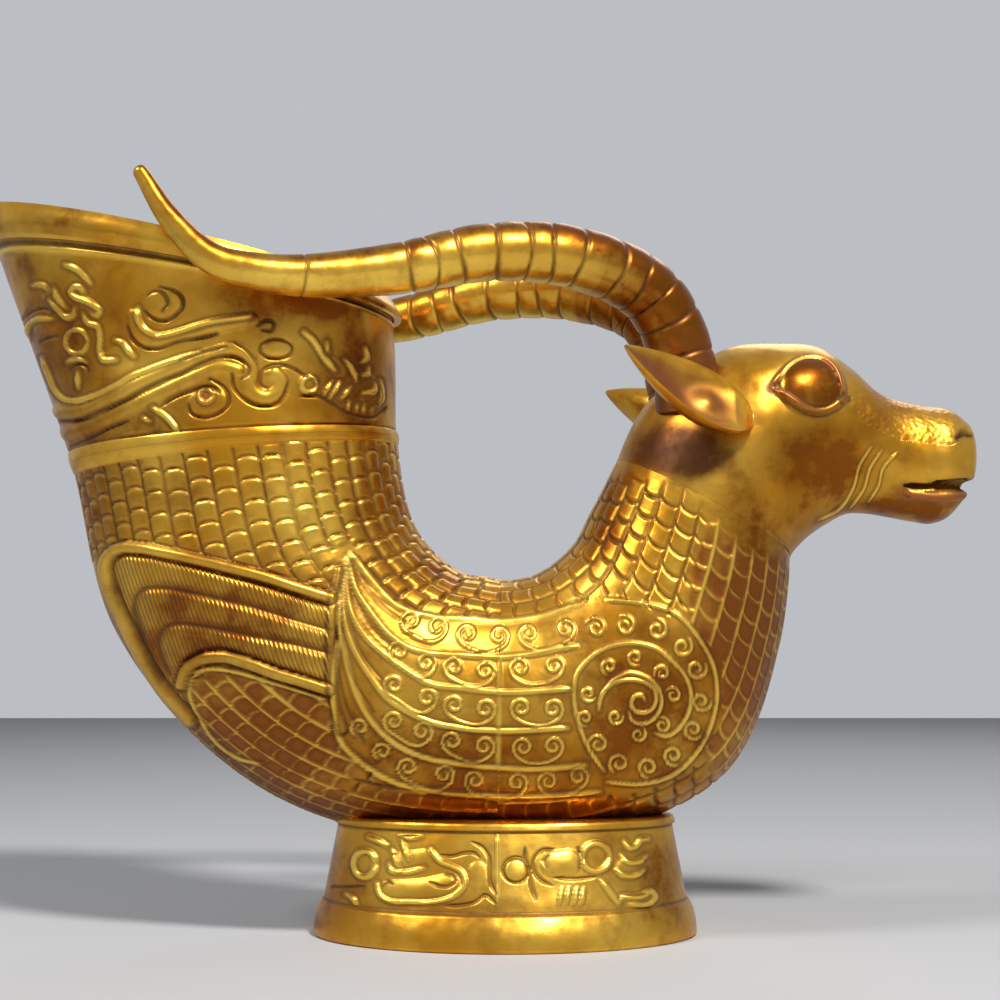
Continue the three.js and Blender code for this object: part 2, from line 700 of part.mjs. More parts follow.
const BRIGHT_GILT = [0xd2a23c, 0.32];
const WORN_GILT = [0xb5842f, 0.42];
const BROWN_GILT = [0x8f6430, 0.5];
const PIECES = [
  ['mouth_rim', mouthRim(), WORN_GILT],
  ['cup_bell', cupBell(), BRIGHT_GILT],
  ['rear_belly', rearBelly(), BRIGHT_GILT],
  ['front_body', frontBody(), BRIGHT_GILT],
  ['neck_bulkhead', neckBulkhead(), BROWN_GILT],
  ['head', head(), BRIGHT_GILT],
  ['left_horn', horn(1), WORN_GILT],
  ['right_horn', horn(-1), WORN_GILT],
  ['left_ear', ear(1), WORN_GILT],
  ['right_ear', ear(-1), WORN_GILT],
  ['foot', foot(), WORN_GILT],
];

const assembly = new THREE.Group();
for (const [name, geometry, [colour, roughness]] of PIECES) {
  geometry.computeVertexNormals();
  const mesh = new THREE.Mesh(geometry, gilt(colour, roughness));
  mesh.name = name;
  assembly.add(mesh);
}
const reach = new THREE.Box3().setFromObject(assembly, true);
assembly.position.x = -(reach.min.x + reach.max.x) / 2;

const cup = new THREE.Group();
cup.add(assembly);

export default cup;
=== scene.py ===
# %% [markdown]
# # A gilt bronze wine cup in relief
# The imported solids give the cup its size, its pieces and their places. In this lesson each smooth solid is
# replaced by a finer one of the same shape, which also carries what a goldsmith chased into the metal:
# scales, a wing, volutes and spirals. A sculptor could work them by hand with brushes. Here they are drawn
# as lines over the side view, because a line that is kept as numbers can be moved, and the other side
# mirrors it.

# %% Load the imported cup
import math

import bmesh
import bpy
import numpy as np
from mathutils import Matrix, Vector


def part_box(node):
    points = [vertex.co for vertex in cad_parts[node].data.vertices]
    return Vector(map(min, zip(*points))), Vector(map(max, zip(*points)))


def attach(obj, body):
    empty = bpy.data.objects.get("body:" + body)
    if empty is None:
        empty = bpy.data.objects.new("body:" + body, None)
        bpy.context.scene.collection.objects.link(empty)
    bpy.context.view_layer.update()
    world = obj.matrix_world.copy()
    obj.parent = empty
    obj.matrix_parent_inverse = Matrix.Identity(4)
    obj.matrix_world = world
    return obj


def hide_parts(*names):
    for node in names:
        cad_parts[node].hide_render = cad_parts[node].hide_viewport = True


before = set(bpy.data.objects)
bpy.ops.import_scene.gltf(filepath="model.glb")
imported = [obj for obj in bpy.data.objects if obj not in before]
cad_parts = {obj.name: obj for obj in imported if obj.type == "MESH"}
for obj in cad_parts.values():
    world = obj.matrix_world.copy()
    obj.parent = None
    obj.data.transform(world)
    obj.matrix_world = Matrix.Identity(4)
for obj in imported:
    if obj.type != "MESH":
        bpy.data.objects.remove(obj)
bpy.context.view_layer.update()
MM = 0.001
foot_low, foot_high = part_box("foot")
FOOT_X = (foot_low[0] + foot_high[0]) / 2 / MM
print("The foot's middle is at", round(FOOT_X, 2), "mm along X")

# %% [markdown]
# The body is a bent horn. Its sections are ovals that follow a line in the middle plane, and a few named
# stations say where each oval is and how large. Between stations a cubic course joins the numbers, with the
# slope of the parabola through three neighbours. A distance t along the line and an angle round the oval
# then name any place on the surface, and all the pieces of the horn can share them.

# %% Courses and oval surfaces
NEARBY = 0.1  # half the way over which a direction is taken, in millimetres


def course(places, numbers):
    """A smooth course through numbers at given places."""
    places, numbers = np.array(places, float), np.array(numbers, float)
    spans = np.diff(places)
    grades = np.diff(numbers) / spans
    inner = (grades[:-1] * spans[1:] + grades[1:] * spans[:-1]) / (spans[:-1] + spans[1:])
    slopes = np.concatenate([grades[:1], inner, grades[-1:]])

    def read(t):
        i = np.clip(np.searchsorted(places, t) - 1, 0, len(spans) - 1)
        u = (t - places[i]) / spans[i]
        start = numbers[i] * (1 + 2 * u) * (1 - u) ** 2 + slopes[i] * spans[i] * u * (1 - u) ** 2
        return start + numbers[i + 1] * u**2 * (3 - 2 * u) + slopes[i + 1] * spans[i] * u**2 * (u - 1)

    return read


class OvalSurface:
    """Oval sections along a line in the middle plane. t is the distance along that line, and turned the angle
    from the section's inner end towards the animal's left side."""

    def __init__(self, sections):
        x, z, turn, height, breadth, taper = np.array(sections, float).T
        self.places = np.concatenate([[0.0], np.cumsum(np.hypot(np.diff(x), np.diff(z)))])
        self.end = self.places[-1]
        self.x, self.z = course(self.places, x), course(self.places, z)
        self.turn, self.taper = course(self.places, np.radians(turn)), course(self.places, taper)
        self.half, self.half_breadth = course(self.places, height / 2), course(self.places, breadth / 2)

    def middle(self, t):
        return np.stack([self.x(t), np.zeros_like(t), self.z(t)], axis=1)

    def tangent(self, t):
        way = self.middle(t + NEARBY) - self.middle(t - NEARBY)
        return way / np.linalg.norm(way, axis=1, keepdims=True)

    def across(self, t):
        turn = self.turn(t)
        return np.stack([np.cos(turn), np.zeros_like(t), np.sin(turn)], axis=1)

    def place(self, t, turned, offset=0.0, shift=0.0):
        """Places in millimetres, moved out of the surface by offset and along the line by shift."""
        cos, sin = np.cos(turned), np.sin(turned)
        middle = self.middle(t) + self.tangent(t) * np.reshape(shift, (-1, 1))
        spot = middle + self.across(t) * ((self.half(t) + offset) * cos)[:, None]
        spot[:, 1] += (self.half_breadth(t) + offset) * (1 + self.taper(t) * cos) * sin
        return spot


# %% Stations of the vessel and the head
FOOT_HEIGHT = 29.0
SEAT_DEPTH = 6.5
UNDERSIDE = FOOT_HEIGHT - SEAT_DEPTH
VESSEL = {  # x from the foot's middle, rise over the belly's underside, turn, length, breadth
    "mouth": (-79.5, 143.5, -12.5, 104, 76),
    "flare": (-72, 116, -1, 89, 68),
    "fillet": (-67.5, 96, 5, 81, 65),
    "heel": (-59, 63.5, 19, 78.5, 63),
    "haunch": (-34.5, 39, 46, 73, 61),
    "belly": (-1.5, 32, 89, 64, 59),
    "sternum": (17, 34, 107, 65.5, 58),
    "breast": (35.5, 44.5, 123.5, 67.5, 56),
    "throat": (45, 65, 142, 57.5, 50),
    "neck": (49.5, 82, 151, 49, 46),
}
HEAD = {  # x and rise from the neck's end, turn, height, breadth, taper towards the jaw
    "collar": (3, 6, 135, 52, 45, 0),
    "nape": (11.4, 13.6, 124, 51, 43, 0.03),
    "poll": (18.4, 18, 119, 50.5, 40, 0.1),
    "eye": (27.5, 19.9, 112, 46, 35.5, 0.16),
    "brow": (34.5, 19.5, 106, 43.5, 32, 0.16),
    "cheek": (41, 16.7, 104, 39, 28, 0.08),
    "bridge": (48.4, 12.5, 102.5, 32.5, 24.5, 0),
    "muzzle": (56.3, 10.9, 95, 29.5, 22.5, 0),
    "nose": (62, 11.3, 89, 26, 20, 0),
    "lips": (65.6, 11.6, 86, 19.5, 14.5, 0),
}
vessel = OvalSurface(
    [(FOOT_X + x, UNDERSIDE + rise, turn, *oval, 0) for x, rise, turn, *oval in VESSEL.values()]
)
neck_x, neck_rise, neck_turn, neck_length, neck_breadth = VESSEL["neck"]
neck_end = (FOOT_X + neck_x, UNDERSIDE + neck_rise)
skull = OvalSurface(
    [(*neck_end, neck_turn, neck_length, neck_breadth, 0)]
    + [(neck_end[0] + x, neck_end[1] + rise, *rest) for x, rise, *rest in HEAD.values()]
)
FILLET = vessel.places[list(VESSEL).index("fillet")]
SEAM = vessel.places[list(VESSEL).index("belly")]
NECK = vessel.end
print("The horn is", round(NECK), "mm long from mouth to neck, and the head", round(skull.end), "mm")

# %% [markdown]
# The photograph is a side view, so the ornament is easiest to place as it is seen there. The camera's place
# and lens were worked out from the cup's outline. With them each place on the surface gets its spot on a
# picture plane of 1000 by 1000. The far side is folded over onto the near one first, so both carry the same
# lines.

# %% The camera and its picture plane
PICTURE = 1000
FOCAL = 1925.0  # in picture units
SENSOR = 36.0  # in millimetres
PITCH = math.radians(4.467)
EYE_POINT = np.array([FOOT_X - 1.25, -480.0, 69.0])


def on_picture(places):
    away = np.stack([places[:, 0], -np.abs(places[:, 1]), places[:, 2]], axis=1) - EYE_POINT
    depth = away[:, 1] * math.cos(PITCH) + away[:, 2] * math.sin(PITCH)
    rise = away[:, 2] * math.cos(PITCH) - away[:, 1] * math.sin(PITCH)
    return PICTURE / 2 + FOCAL * np.stack([away[:, 0], -rise], axis=1) / depth[:, None]


camera_data = bpy.data.cameras.new("camera")
camera_data.sensor_width = SENSOR
camera_data.lens = SENSOR * FOCAL / PICTURE
camera = bpy.data.objects.new("camera", camera_data)
camera.location = EYE_POINT * MM
camera.rotation_euler = (math.pi / 2 + PITCH, 0, 0)
bpy.context.scene.collection.objects.link(camera)
bpy.context.scene.camera = camera
print("The lens is", round(camera_data.lens, 1), "mm")

# %% [markdown]
# Chased metal has raised lines, cut lines and raised bodies, and dirt stays beside each of them. A line is a
# smooth course through a few points on the picture plane. The Relief class collects the lines for the corners
# of one piece: heights in millimetres, and the strengths of marks that the finish reads later, such as grime,
# brown patina, painted shade and polish. Each line thins out at its ends, as a chisel's stroke does.

# %% Lines on the picture plane
LINE_STEP = 3.0
SPIRAL_STEPS = 22  # in one turn
SPIRAL_CLOSING = 0.85  # under 1, a spiral closes up faster at its outside


def hill(distance, wide):
    """A smooth hill, 1 high where the distance is 0."""
    return np.exp(-((distance / wide) ** 2))


def through(points):
    """A smooth line through points, as a row of short straight pieces."""
    points = np.array(points, float)
    if len(points) == 2:
        return points
    reach = np.concatenate([[0.0], np.cumsum(np.linalg.norm(np.diff(points, axis=0), axis=1))])
    spots = np.linspace(0, reach[-1], max(2, int(reach[-1] / LINE_STEP)) + 1)
    return np.stack([course(reach, points[:, 0])(spots), course(reach, points[:, 1])(spots)], axis=1)


def spiral(middle, radius, turns, start, way, inner, squash=1.0):
    """A line that winds inwards. Angles run from +x towards +y, which points down on the picture."""
    k = np.linspace(0, 1, int(SPIRAL_STEPS * turns) + 2)
    angle = np.radians(start) + way * 2 * math.pi * turns * k
    size = radius * (1 + (inner - 1) * k**SPIRAL_CLOSING)
    return np.stack([middle[0] + size * np.cos(angle), middle[1] + squash * size * np.sin(angle)], axis=1)


def ring(middle, radius, squash):
    return spiral(middle, radius, 1.0, 0.0, 1, 1.0, squash)


print("A ring is drawn with", len(ring((0, 0), 1, 1)), "points")

# %% Relief on the picture plane
FAR, TINY = 1e3, 1e-9
NEAR = 30.0  # farther from a line than this, nothing is measured
STROKE_END, STROKE_THIN = 7.0, 0.4  # how far from its ends a stroke thins out, and what is left of it there
RIDGE_ROUND = 0.8
DIRT_BESIDE, DIRT_WIDE, CUT_DIRT_WIDE = 1.45, 0.55, 0.9  # in halves of a line's breadth
RIB_FLAT = 2.6
RIB_GROOVE_AT, RIB_GROOVE_DEEP, RIB_GROOVE_WIDE = 1.2, 0.3, 1.4
RIB_DIRT, RIB_DIRT_WIDE = 0.95, 1.7
RUBBED_LINE, RUBBED_BODY, RUBBED_OFF = 0.3, 0.4, 0.8  # how heights are polished, and what patina that takes
# grime also carries the painted shadow under the ear, and brown carries painted shade
MARKS = ("grime_and_shade", "brown", "polish", "rouge", "hatch", "pebble")


class Relief:
    """Heights and marks of one piece, at the spots where its corners are seen."""

    def __init__(self, places):
        self.spots = on_picture(places)
        count = len(places)
        self.field, self.lines, self.cuts = np.zeros(count), np.zeros(count), np.zeros(count)
        self.marks = {name: np.zeros(count) for name in MARKS}

    def nearest(self, line):
        """Distance from each spot to a line, and from the place where it is met to the line's nearer end.
        Spots that are far away keep a large number."""
        near = np.all((self.spots > line.min(0) - NEAR) & (self.spots < line.max(0) + NEAR), axis=1)
        picked = np.flatnonzero(near)
        spots = self.spots[picked]
        best, met = np.full(len(picked), FAR), np.zeros(len(picked))
        start = 0.0
        for a, b in zip(line[:-1], line[1:]):
            way = b - a
            length = math.hypot(*way)
            share = np.clip(((spots - a) @ way) / max(length**2, TINY), 0, 1)
            distance = np.linalg.norm(spots - a - share[:, None] * way, axis=1)
            closer = distance < best
            best[closer] = distance[closer]
            met[closer] = start + share[closer] * length
            start += length
        found, from_end = np.full(len(self.spots), FAR), np.full(len(self.spots), FAR)
        found[picked], from_end[picked] = best, np.minimum(met, start - met)
        return found, from_end

    def away(self, middle, radii):
        """Distance from the middle of an oval, in shares of its radii."""
        return np.linalg.norm((self.spots - middle) / radii, axis=1)

    def patch(self, middle, radii):
        """About 1 all over an oval, with a steep fall at its edge."""
        return np.exp(-(self.away(middle, radii) ** 4))

    def inside(self, corners):
        """Which spots lie inside a closed outline."""
        corners = np.array(corners, float)
        x, y = self.spots.T
        odd = np.zeros(len(x), bool)
        for (ax, ay), (bx, by) in zip(corners, np.roll(corners, -1, axis=0)):
            crosses = (ay > y) != (by > y)
            odd ^= crosses & (x < ax + (y - ay) * (bx - ax) / (by - ay if by != ay else TINY))
        return odd

    def mark(self, name, amount):
        """Raises a mark to at least this amount."""
        self.marks[name] = np.maximum(self.marks[name], amount)

    def ridge(self, height):
        self.lines = np.maximum(self.lines, height)

    def sink(self, depth):
        self.cuts = np.maximum(self.cuts, depth)

    def stroke(self, line, half):
        """Distance to a line, how full its stroke is there, and the stroke's round section."""
        distance, from_end = self.nearest(line)
        full = np.clip(STROKE_THIN + (1 - STROKE_THIN) * from_end / STROKE_END, 0, 1)
        return distance, full, np.clip(1 - (distance / (half * full)) ** 2, 0, 1)

    def raised(self, line, half, height, grime_and_shade=0.7):
        """A raised line with dirt along both its sides."""
        distance, full, section = self.stroke(line, half)
        self.ridge(height * full * section**RIDGE_ROUND)
        self.mark("grime_and_shade", grime_and_shade * hill(np.abs(distance - DIRT_BESIDE * half), half * DIRT_WIDE))

    def cut(self, line, half, depth, grime_and_shade=0.95):
        """A cut line with dirt in it."""
        distance, full, section = self.stroke(line, half)
        self.sink(depth * full * section)
        self.mark("grime_and_shade", grime_and_shade * hill(distance, half * CUT_DIRT_WIDE))

    def bar(self, line, half, height, flat=2.0):
        """A broad raised body. A higher number for flat gives it a flatter top and steeper sides."""
        distance, _ = self.nearest(line)
        self.field = np.maximum(self.field, height * np.sqrt(np.clip(1 - (distance / half) ** flat, 0, 1)))

    def rib(self, line, half, height):
        """A bar with a dark groove along its foot."""
        self.bar(line, half, height, RIB_FLAT)
        distance, _ = self.nearest(line)
        from_groove = np.abs(distance - half - RIB_GROOVE_AT)
        self.sink(RIB_GROOVE_DEEP * hill(from_groove, RIB_GROOVE_WIDE))
        self.mark("grime_and_shade", RIB_DIRT * hill(from_groove, RIB_DIRT_WIDE))

    def patina_and_shade(self, patches):
        """Brown patches of patina and painted shade, each as middle, radii and strength. Raised lines and
        bodies are rubbed bright.
        """
        for middle, radii, strength in patches:
            self.mark("brown", strength * hill(self.away(middle, radii), 1.0))
        self.marks["polish"] = np.clip(self.lines / RUBBED_LINE + self.field * RUBBED_BODY, 0, 1)
        self.marks["brown"] *= 1 - RUBBED_OFF * self.marks["polish"]

    def height(self):
        return self.field + self.lines - self.cuts


print("The finish will read", len(MARKS), "marks")

# %% [markdown]
# Every piece starts as a flat grid. Its columns are bent round the section and its rows follow a profile,
# out over the surface and back along the hidden side, so the sheet closes on itself. Doubled corners are
# merged at the end. A revolved curve would be quicker, but the horn's ovals change along its length.

# %% Rolling a sheet into a piece
MERGE = 1e-6
SHARP = math.radians(70)  # edges with a greater bend keep a hard shade
FLANK = 0.45  # how much closer the columns stand on the flanks than on the edges
REAR_ROUND, FRONT_ROUND, BELL_ROUND, RIM_ROUND = 390, 400, 540, 360  # faces round a piece
HEAD_ROUND, FOOT_ROUND = 330, 520


def rolled_sheet(name, columns, rows, shape):
    """shape gets each corner's share of the way round and its row, and returns places and marks."""
    sheet = bmesh.new()
    bmesh.ops.create_grid(sheet, x_segments=columns, y_segments=rows, size=0.5)
    mesh = bpy.data.meshes.new(name)
    sheet.to_mesh(mesh)
    sheet.free()
    flat = np.empty(len(mesh.vertices) * 3, np.float32)
    mesh.vertices.foreach_get("co", flat)
    flat = flat.reshape(-1, 3)
    places, marks = shape(flat[:, 0] + 0.5, np.rint((flat[:, 1] + 0.5) * rows).astype(int))
    mesh.vertices.foreach_set("co", (places * MM).astype(np.float32).ravel())
    for mark, values in marks.items():
        mesh.attributes.new(mark, "FLOAT", "POINT").data.foreach_set("value", values.astype(np.float32))
    closed = bmesh.new()
    closed.from_mesh(mesh)
    bmesh.ops.remove_doubles(closed, verts=closed.verts, dist=MERGE)
    bmesh.ops.recalc_face_normals(closed, faces=closed.faces)
    open_edges = sum(edge.is_boundary for edge in closed.edges)
    closed.to_mesh(mesh)
    closed.free()
    mesh.shade_smooth()
    mesh.set_sharp_from_angle(angle=SHARP)
    piece = bpy.data.objects.new(name, mesh)
    bpy.context.scene.collection.objects.link(piece)
    triangles = sum(len(face.vertices) - 2 for face in mesh.polygons)
    print(name, "has", triangles, "triangles and", open_edges, "open edges")
    return piece


def profile(*runs):
    """Rows of a profile. A run is (t from, t to, offset from, offset to, shift, rows, carved)."""
    t, _, offset, _, shift, _, carved = runs[0]
    table = [(t, offset, shift, carved)]
    for t_from, t_to, low, high, shift, rows, carved in runs:
        for k in range(1, rows + 1):
            share = k / rows
            table.append((t_from + (t_to - t_from) * share, low + (high - low) * share, shift, carved))
    return np.array(table, float)


def round_angle(share):
    return 2 * math.pi * share + FLANK * np.sin(4 * math.pi * share) / 2


def folded(angle):
    """The same angle on both sides, from 0 to half a turn."""
    return np.abs((angle + math.pi) % (2 * math.pi) - math.pi)


def vessel_piece(name, table, columns, carve):
    """A shell of the vessel. carve gets places, t and angle of the outside, and returns its relief."""

    def shape(share, row):
        t, offset, shift, carved = table[row].T
        turned = round_angle(share)
        relief = carve(vessel.place(t, turned, offset, shift), t, turned)
        height = relief.height() * carved
        marks = {mark: values * (carved > 0) for mark, values in relief.marks.items()}
        return vessel.place(t, turned, offset + height, shift), marks

    return rolled_sheet(name, columns, len(table) - 1, shape)


# %% [markdown]
# Scales cover whatever the other ornament leaves free. Columns of them run along the horn, and each scale
# ends in a flat arch that looks towards the mouth. The angle says which column a spot lies in. The way along
# the column is measured on the surface itself, since the inside of a bend is shorter than its outside and
# the scales are all about as long. What is left over after dividing says how far the scale's edge is. A
# narrow lip inside the arch catches light. Where the gold is worn off, on the lower belly and the breast,
# thin bright ridges stand in place of the grooves, like a net.

# %% The way along a column
RUN_STOPS, RUN_ANGLES = 240, 48


def run_on_vessel(t, angle):
    """How far a spot lies from the fillet, measured on the surface along its own column."""
    stops = np.linspace(FILLET, NECK, RUN_STOPS)
    runs = []
    for turn in np.linspace(0, math.pi, RUN_ANGLES):
        steps = np.linalg.norm(np.diff(vessel.place(stops, np.full(RUN_STOPS, turn)), axis=0), axis=1)
        runs.append(np.concatenate([[0.0], np.cumsum(steps)]))
    runs = np.array(runs)
    u = np.clip((t - FILLET) / (NECK - FILLET), 0, 1) * (RUN_STOPS - 1)
    v = angle / math.pi * (RUN_ANGLES - 1)
    i, k = np.minimum(u.astype(int), RUN_STOPS - 2), np.minimum(v.astype(int), RUN_ANGLES - 2)
    here = runs[k, i] + (runs[k, i + 1] - runs[k, i]) * (u - i)
    beside = runs[k + 1, i] + (runs[k + 1, i + 1] - runs[k + 1, i]) * (u - i)
    return here + (beside - here) * (v - k)


ends = run_on_vessel(np.full(2, NECK), np.array([0.0, math.pi]))
print("From fillet to neck it is", round(ends[0]), "mm inside the bend and", round(ends[1]), "mm outside")

# %% Scales in columns
REAR_COLUMNS, FRONT_COLUMNS = 21, 15  # on each side
COLUMN_END = 0.001  # keeps the last spot in the last column
SCALE_LONG, SCALE_ARCH, SCALE_FRONT = 5.2, 1.3, 2.0
SCALE_GROOVE, SCALE_BULGE, SCALE_LIP = 0.5, 0.17, 0.15  # depth and heights
SHIFT_MOST, SHIFT_TURN = 0.3, 2.4  # columns are shifted along by uneven shares of a scale
GROOVE_WIDE, LIP_AT, LIP_WIDE, LIP_SIDE = 0.42, 0.95, 0.4, 0.8
NET_RIDGE, NET_WIDE, NET_END_WIDE, NET_END_SHARE = 0.36, 0.42, 0.36, 0.75
SCALE_DIRT, NET_DIRT, NET_ROUGE, NET_BROWN = 0.9, 0.45, 0.25, 0.9


def scales(relief, t, turned, columns, where, net):
    """Scales at a share given by where. As far as net says, thin ridges stand for their grooves. Fewer and
    broader columns get flatter scales."""
    full = (columns / REAR_COLUMNS) ** 3
    column = folded(turned) / math.pi * columns
    number = np.floor(np.clip(column, 0, columns - COLUMN_END))
    across = np.abs(2 * (column - number) - 1)
    run = run_on_vessel(t, (number + 0.5) / columns * math.pi) - SCALE_ARCH * across**3
    left = (run / SCALE_LONG + SHIFT_MOST * np.sin(number * SHIFT_TURN)) % 1 * SCALE_LONG
    from_side = (1 - across) * (vessel.half(t) + vessel.half_breadth(t)) * math.pi / columns / 4
    from_end = np.minimum(left, SCALE_LONG - left)
    from_edge = np.minimum(from_side, from_end)
    groove = hill(from_edge, GROOVE_WIDE)
    ridge = np.maximum(hill(from_side, NET_WIDE), NET_END_SHARE * hill(from_end, NET_END_WIDE))
    lip = hill(left - LIP_AT, LIP_WIDE) * np.clip(from_side / LIP_SIDE, 0, 1)
    plain, netted = where * (1 - net), where * net
    relief.field += plain * full * SCALE_BULGE * (1 - across**2) * np.clip(left / SCALE_FRONT, 0, 1)
    relief.ridge(plain * full * SCALE_LIP * lip + netted * NET_RIDGE * ridge)
    relief.sink(plain * SCALE_GROOVE * groove)
    beside = hill(from_edge - LIP_AT, LIP_WIDE)
    relief.mark("grime_and_shade", plain * SCALE_DIRT * groove + netted * NET_DIRT * beside)
    relief.mark("rouge", netted * NET_ROUGE * (1 - ridge))
    relief.mark("brown", netted * NET_BROWN * (1 - ridge))


# %% [markdown]
# The two body castings carry the wing with its hatched bars, a fan of plumes that runs out into five bands
# under the belly, pairs of spirals in the bands, and a round medallion on the breast. All points are read
# from the side view. The lower belly, the breast and the neck have lost most of their gold, so patches of
# brown lie there. Those on the lower belly and the breast are painted shade as well, and one under the ear
# is the ear's painted shadow.

# %% Lines of the wing
WING_RIB = [
    (330, 598), (303, 590), (267, 578), (230, 568), (194, 559), (167, 553), (140, 548), (121, 548),
    (110, 555), (106, 566), (107, 578), (112, 594), (120, 611), (131, 634), (146, 662), (166, 692),
    (192, 722),
]
WING_GROOVES = [
    [(331, 630), (300, 621), (249, 605), (215, 597), (186, 591), (160, 587), (144, 589), (136, 598),
     (135, 614), (140, 634), (150, 656), (164, 679)],
    [(331, 653), (300, 645), (237, 632), (205, 626), (180, 623), (165, 627), (159, 639), (162, 655),
     (171, 674)],
]
INNER_RIB = [(328, 690), (303, 682), (276, 674), (249, 664), (221, 657), (200, 660), (187, 669), (182, 684)]
LEAF_EDGE = [
    (327, 700), (303, 692), (267, 681), (230, 671), (212, 669), (200, 671), (191, 681), (190, 695),
    (195, 709), (203, 724), (218, 744), (240, 759), (262, 764),
]
WING_BORDER = [(338, 570), (333, 600), (331, 640), (331, 670), (334, 702), (342, 730)]
WING_AREA = [
    (60, 590), (104, 552), (120, 543), (150, 545), (200, 556), (338, 592), (335, 640), (333, 700),
    (303, 690), (250, 674), (214, 664), (192, 672), (186, 692), (200, 728), (120, 720),
]
print("Two grooves part the wing into", len(WING_GROOVES) + 1, "bars")

# %% Lines of the bands and plumes
BAND_LINES = [
    [(350, 552), (372, 580), (398, 606), (430, 616), (474, 619), (500, 621), (540, 616), (580, 603)],
    [(347, 556), (356, 590), (370, 611), (390, 635), (410, 648), (430, 653), (460, 655), (500, 657),
     (578, 646)],
    [(345, 560), (351, 612), (364, 635), (386, 656), (410, 673), (430, 684), (460, 688), (500, 692),
     (570, 689)],
    [(343, 565), (344, 619), (353, 647), (370, 676), (388, 699), (410, 713), (430, 722), (460, 728),
     (500, 731), (568, 728)],
    [(341, 575), (339, 627), (346, 659), (357, 696), (376, 727), (391, 741), (410, 752), (430, 759),
     (460, 764), (500, 768), (540, 769), (586, 765)],
    [(338, 640), (334, 700), (340, 740), (370, 769), (396, 783), (430, 791), (490, 796), (546, 796),
     (600, 792)],
]
PLUME_LINES = [
    [(352, 556), (366, 587), (388, 611), (414, 628)],
    [(346, 562), (356, 600), (374, 630), (398, 652)],
    [(344, 566), (348, 612), (361, 652), (384, 682)],
    [(342, 572), (342, 624), (352, 676), (374, 712)],
    [(339, 580), (337, 644), (345, 702), (364, 742)],
]
PLUME_AREA = [
    (334, 548), (352, 540), (372, 572), (400, 604), (440, 615), (500, 619), (560, 608), (610, 594),
    (690, 622), (722, 660), (722, 720), (690, 772), (640, 794), (546, 800), (440, 797), (390, 785),
    (350, 755), (331, 735),
]
SPIRAL_PAIRS = [
    [(411, 621), (437, 627)], [(468, 634), (499, 636)], [(529, 634), (565, 629)],
    [(399, 651), (426, 663)], [(454, 667), (485, 671)], [(520, 668), (554, 666)],
    [(394, 685), (427, 698)], [(454, 705), (485, 709)], [(521, 708), (553, 709)],
    [(394, 721), (422, 731)], [(452, 741), (484, 746)], [(523, 747), (553, 746)],
    [(408, 767), (444, 774)], [(475, 780), (517, 782)], [(548, 781), (578, 776)],
]
SINGLE_CURLS = [(360, 727), (383, 751)]
print(len(BAND_LINES), "lines bound the bands, with", len(SPIRAL_PAIRS), "pairs of spirals")

# %% Lines of the medallion
MEDALLION_LINES = [
    [(645, 701), (643, 696), (635, 696), (631, 703), (634, 710), (642, 713), (651, 710), (656, 701),
     (654, 689), (646, 683), (634, 680), (620, 681), (606, 689), (600, 700), (599, 710)],
    [(606, 687), (617, 678), (629, 673), (643, 676), (655, 684), (661, 695), (660, 709), (652, 720),
     (641, 724), (632, 720), (629, 712)],
    [(604, 771), (589, 749), (580, 727), (575, 706), (574, 690), (577, 674), (585, 663), (600, 651),
     (621, 644), (640, 644), (657, 649), (672, 661), (684, 674), (690, 688), (691, 702), (687, 716),
     (679, 728), (666, 736), (655, 733)],
    [(606, 600), (640, 603), (676, 614), (700, 640), (714, 668), (717, 695), (712, 722), (697, 752),
     (674, 774), (640, 784), (606, 782)],
]
INNER_CURLS = [
    (635, 658), (609, 667), (662, 673), (673, 695), (662, 725), (638, 734), (615, 717), (588, 694),
    (585, 718),
]
OUTER_CURLS = [
    (596, 628), (625, 626), (657, 630), (682, 647), (696, 669), (701, 701), (693, 729), (673, 755),
    (648, 767), (619, 763), (598, 744),
]
print(len(INNER_CURLS) + len(OUTER_CURLS), "curls lie round the medallion's middle")

# %% Worn patches and painted shade of the body
# The brown patches on the lower belly and the breast are worn gilding and painted shade in one.
BODY_PATINA_AND_SHADE = [  # middle, radii and strength
    ((265, 740), (120, 70), 1.7), ((400, 825), (250, 52), 1.7), ((650, 715), (92, 100), 1.25),
    ((145, 650), (60, 80), 1.1), ((210, 605), (120, 45), 1.2),
    ((430, 575), (75, 40), 0.65), ((95, 490), (50, 80), 0.85), ((235, 645), (120, 50), 1.4),
    ((450, 755), (170, 52), 1.1), ((375, 510), (32, 80), 0.9), ((190, 480), (30, 40), 0.5),
    ((500, 690), (200, 30), 0.3),
]
# The patch at (685, 448) is the ear's painted shadow on the neck.
NECK_PATINA_AND_SHADE = [
    ((752, 630), (58, 140), 1.6), ((610, 520), (22, 60), 0.8), ((685, 448), (56, 32), 1.35),
    ((780, 545), (60, 22), 0.9),
]
BARE_NECK = [
    (600, 380), (619, 473), (690, 485), (715, 515), (750, 545), (790, 560), (880, 570), (880, 380),
]
NECK_FADE = 16.0
NET_PATCHES = [((250, 745), (125, 78)), ((430, 832), (270, 45)), ((757, 640), (78, 180))]
NET_EDGE = (0.42, 0.58)  # where in a patch's fall the scales turn into net
SEAM_SHOWS = (655, 768)  # how far down the picture the mould seam stands out
print(len(BODY_PATINA_AND_SHADE + NECK_PATINA_AND_SHADE), "patches are worn brown, and", len(NET_PATCHES), "carry a net")

# %% Carve the wing
RIB_HALF, WING_RIB_HIGH, INNER_RIB_HIGH = 6.0, 1.5, 1.25
BORDER_HALF, BORDER_HIGH = 4.0, 0.9
PILLOW_SIDE, PILLOW_HIGH = 5.0, 0.85
WING_DIRT, WING_DIRT_WIDE = 0.9, 2.0
HATCH_FROM, HATCH_FADE = 1.5, 3.0
LEAF_STROKE = (2.2, 0.4)  # half a line's breadth on the picture, and its height


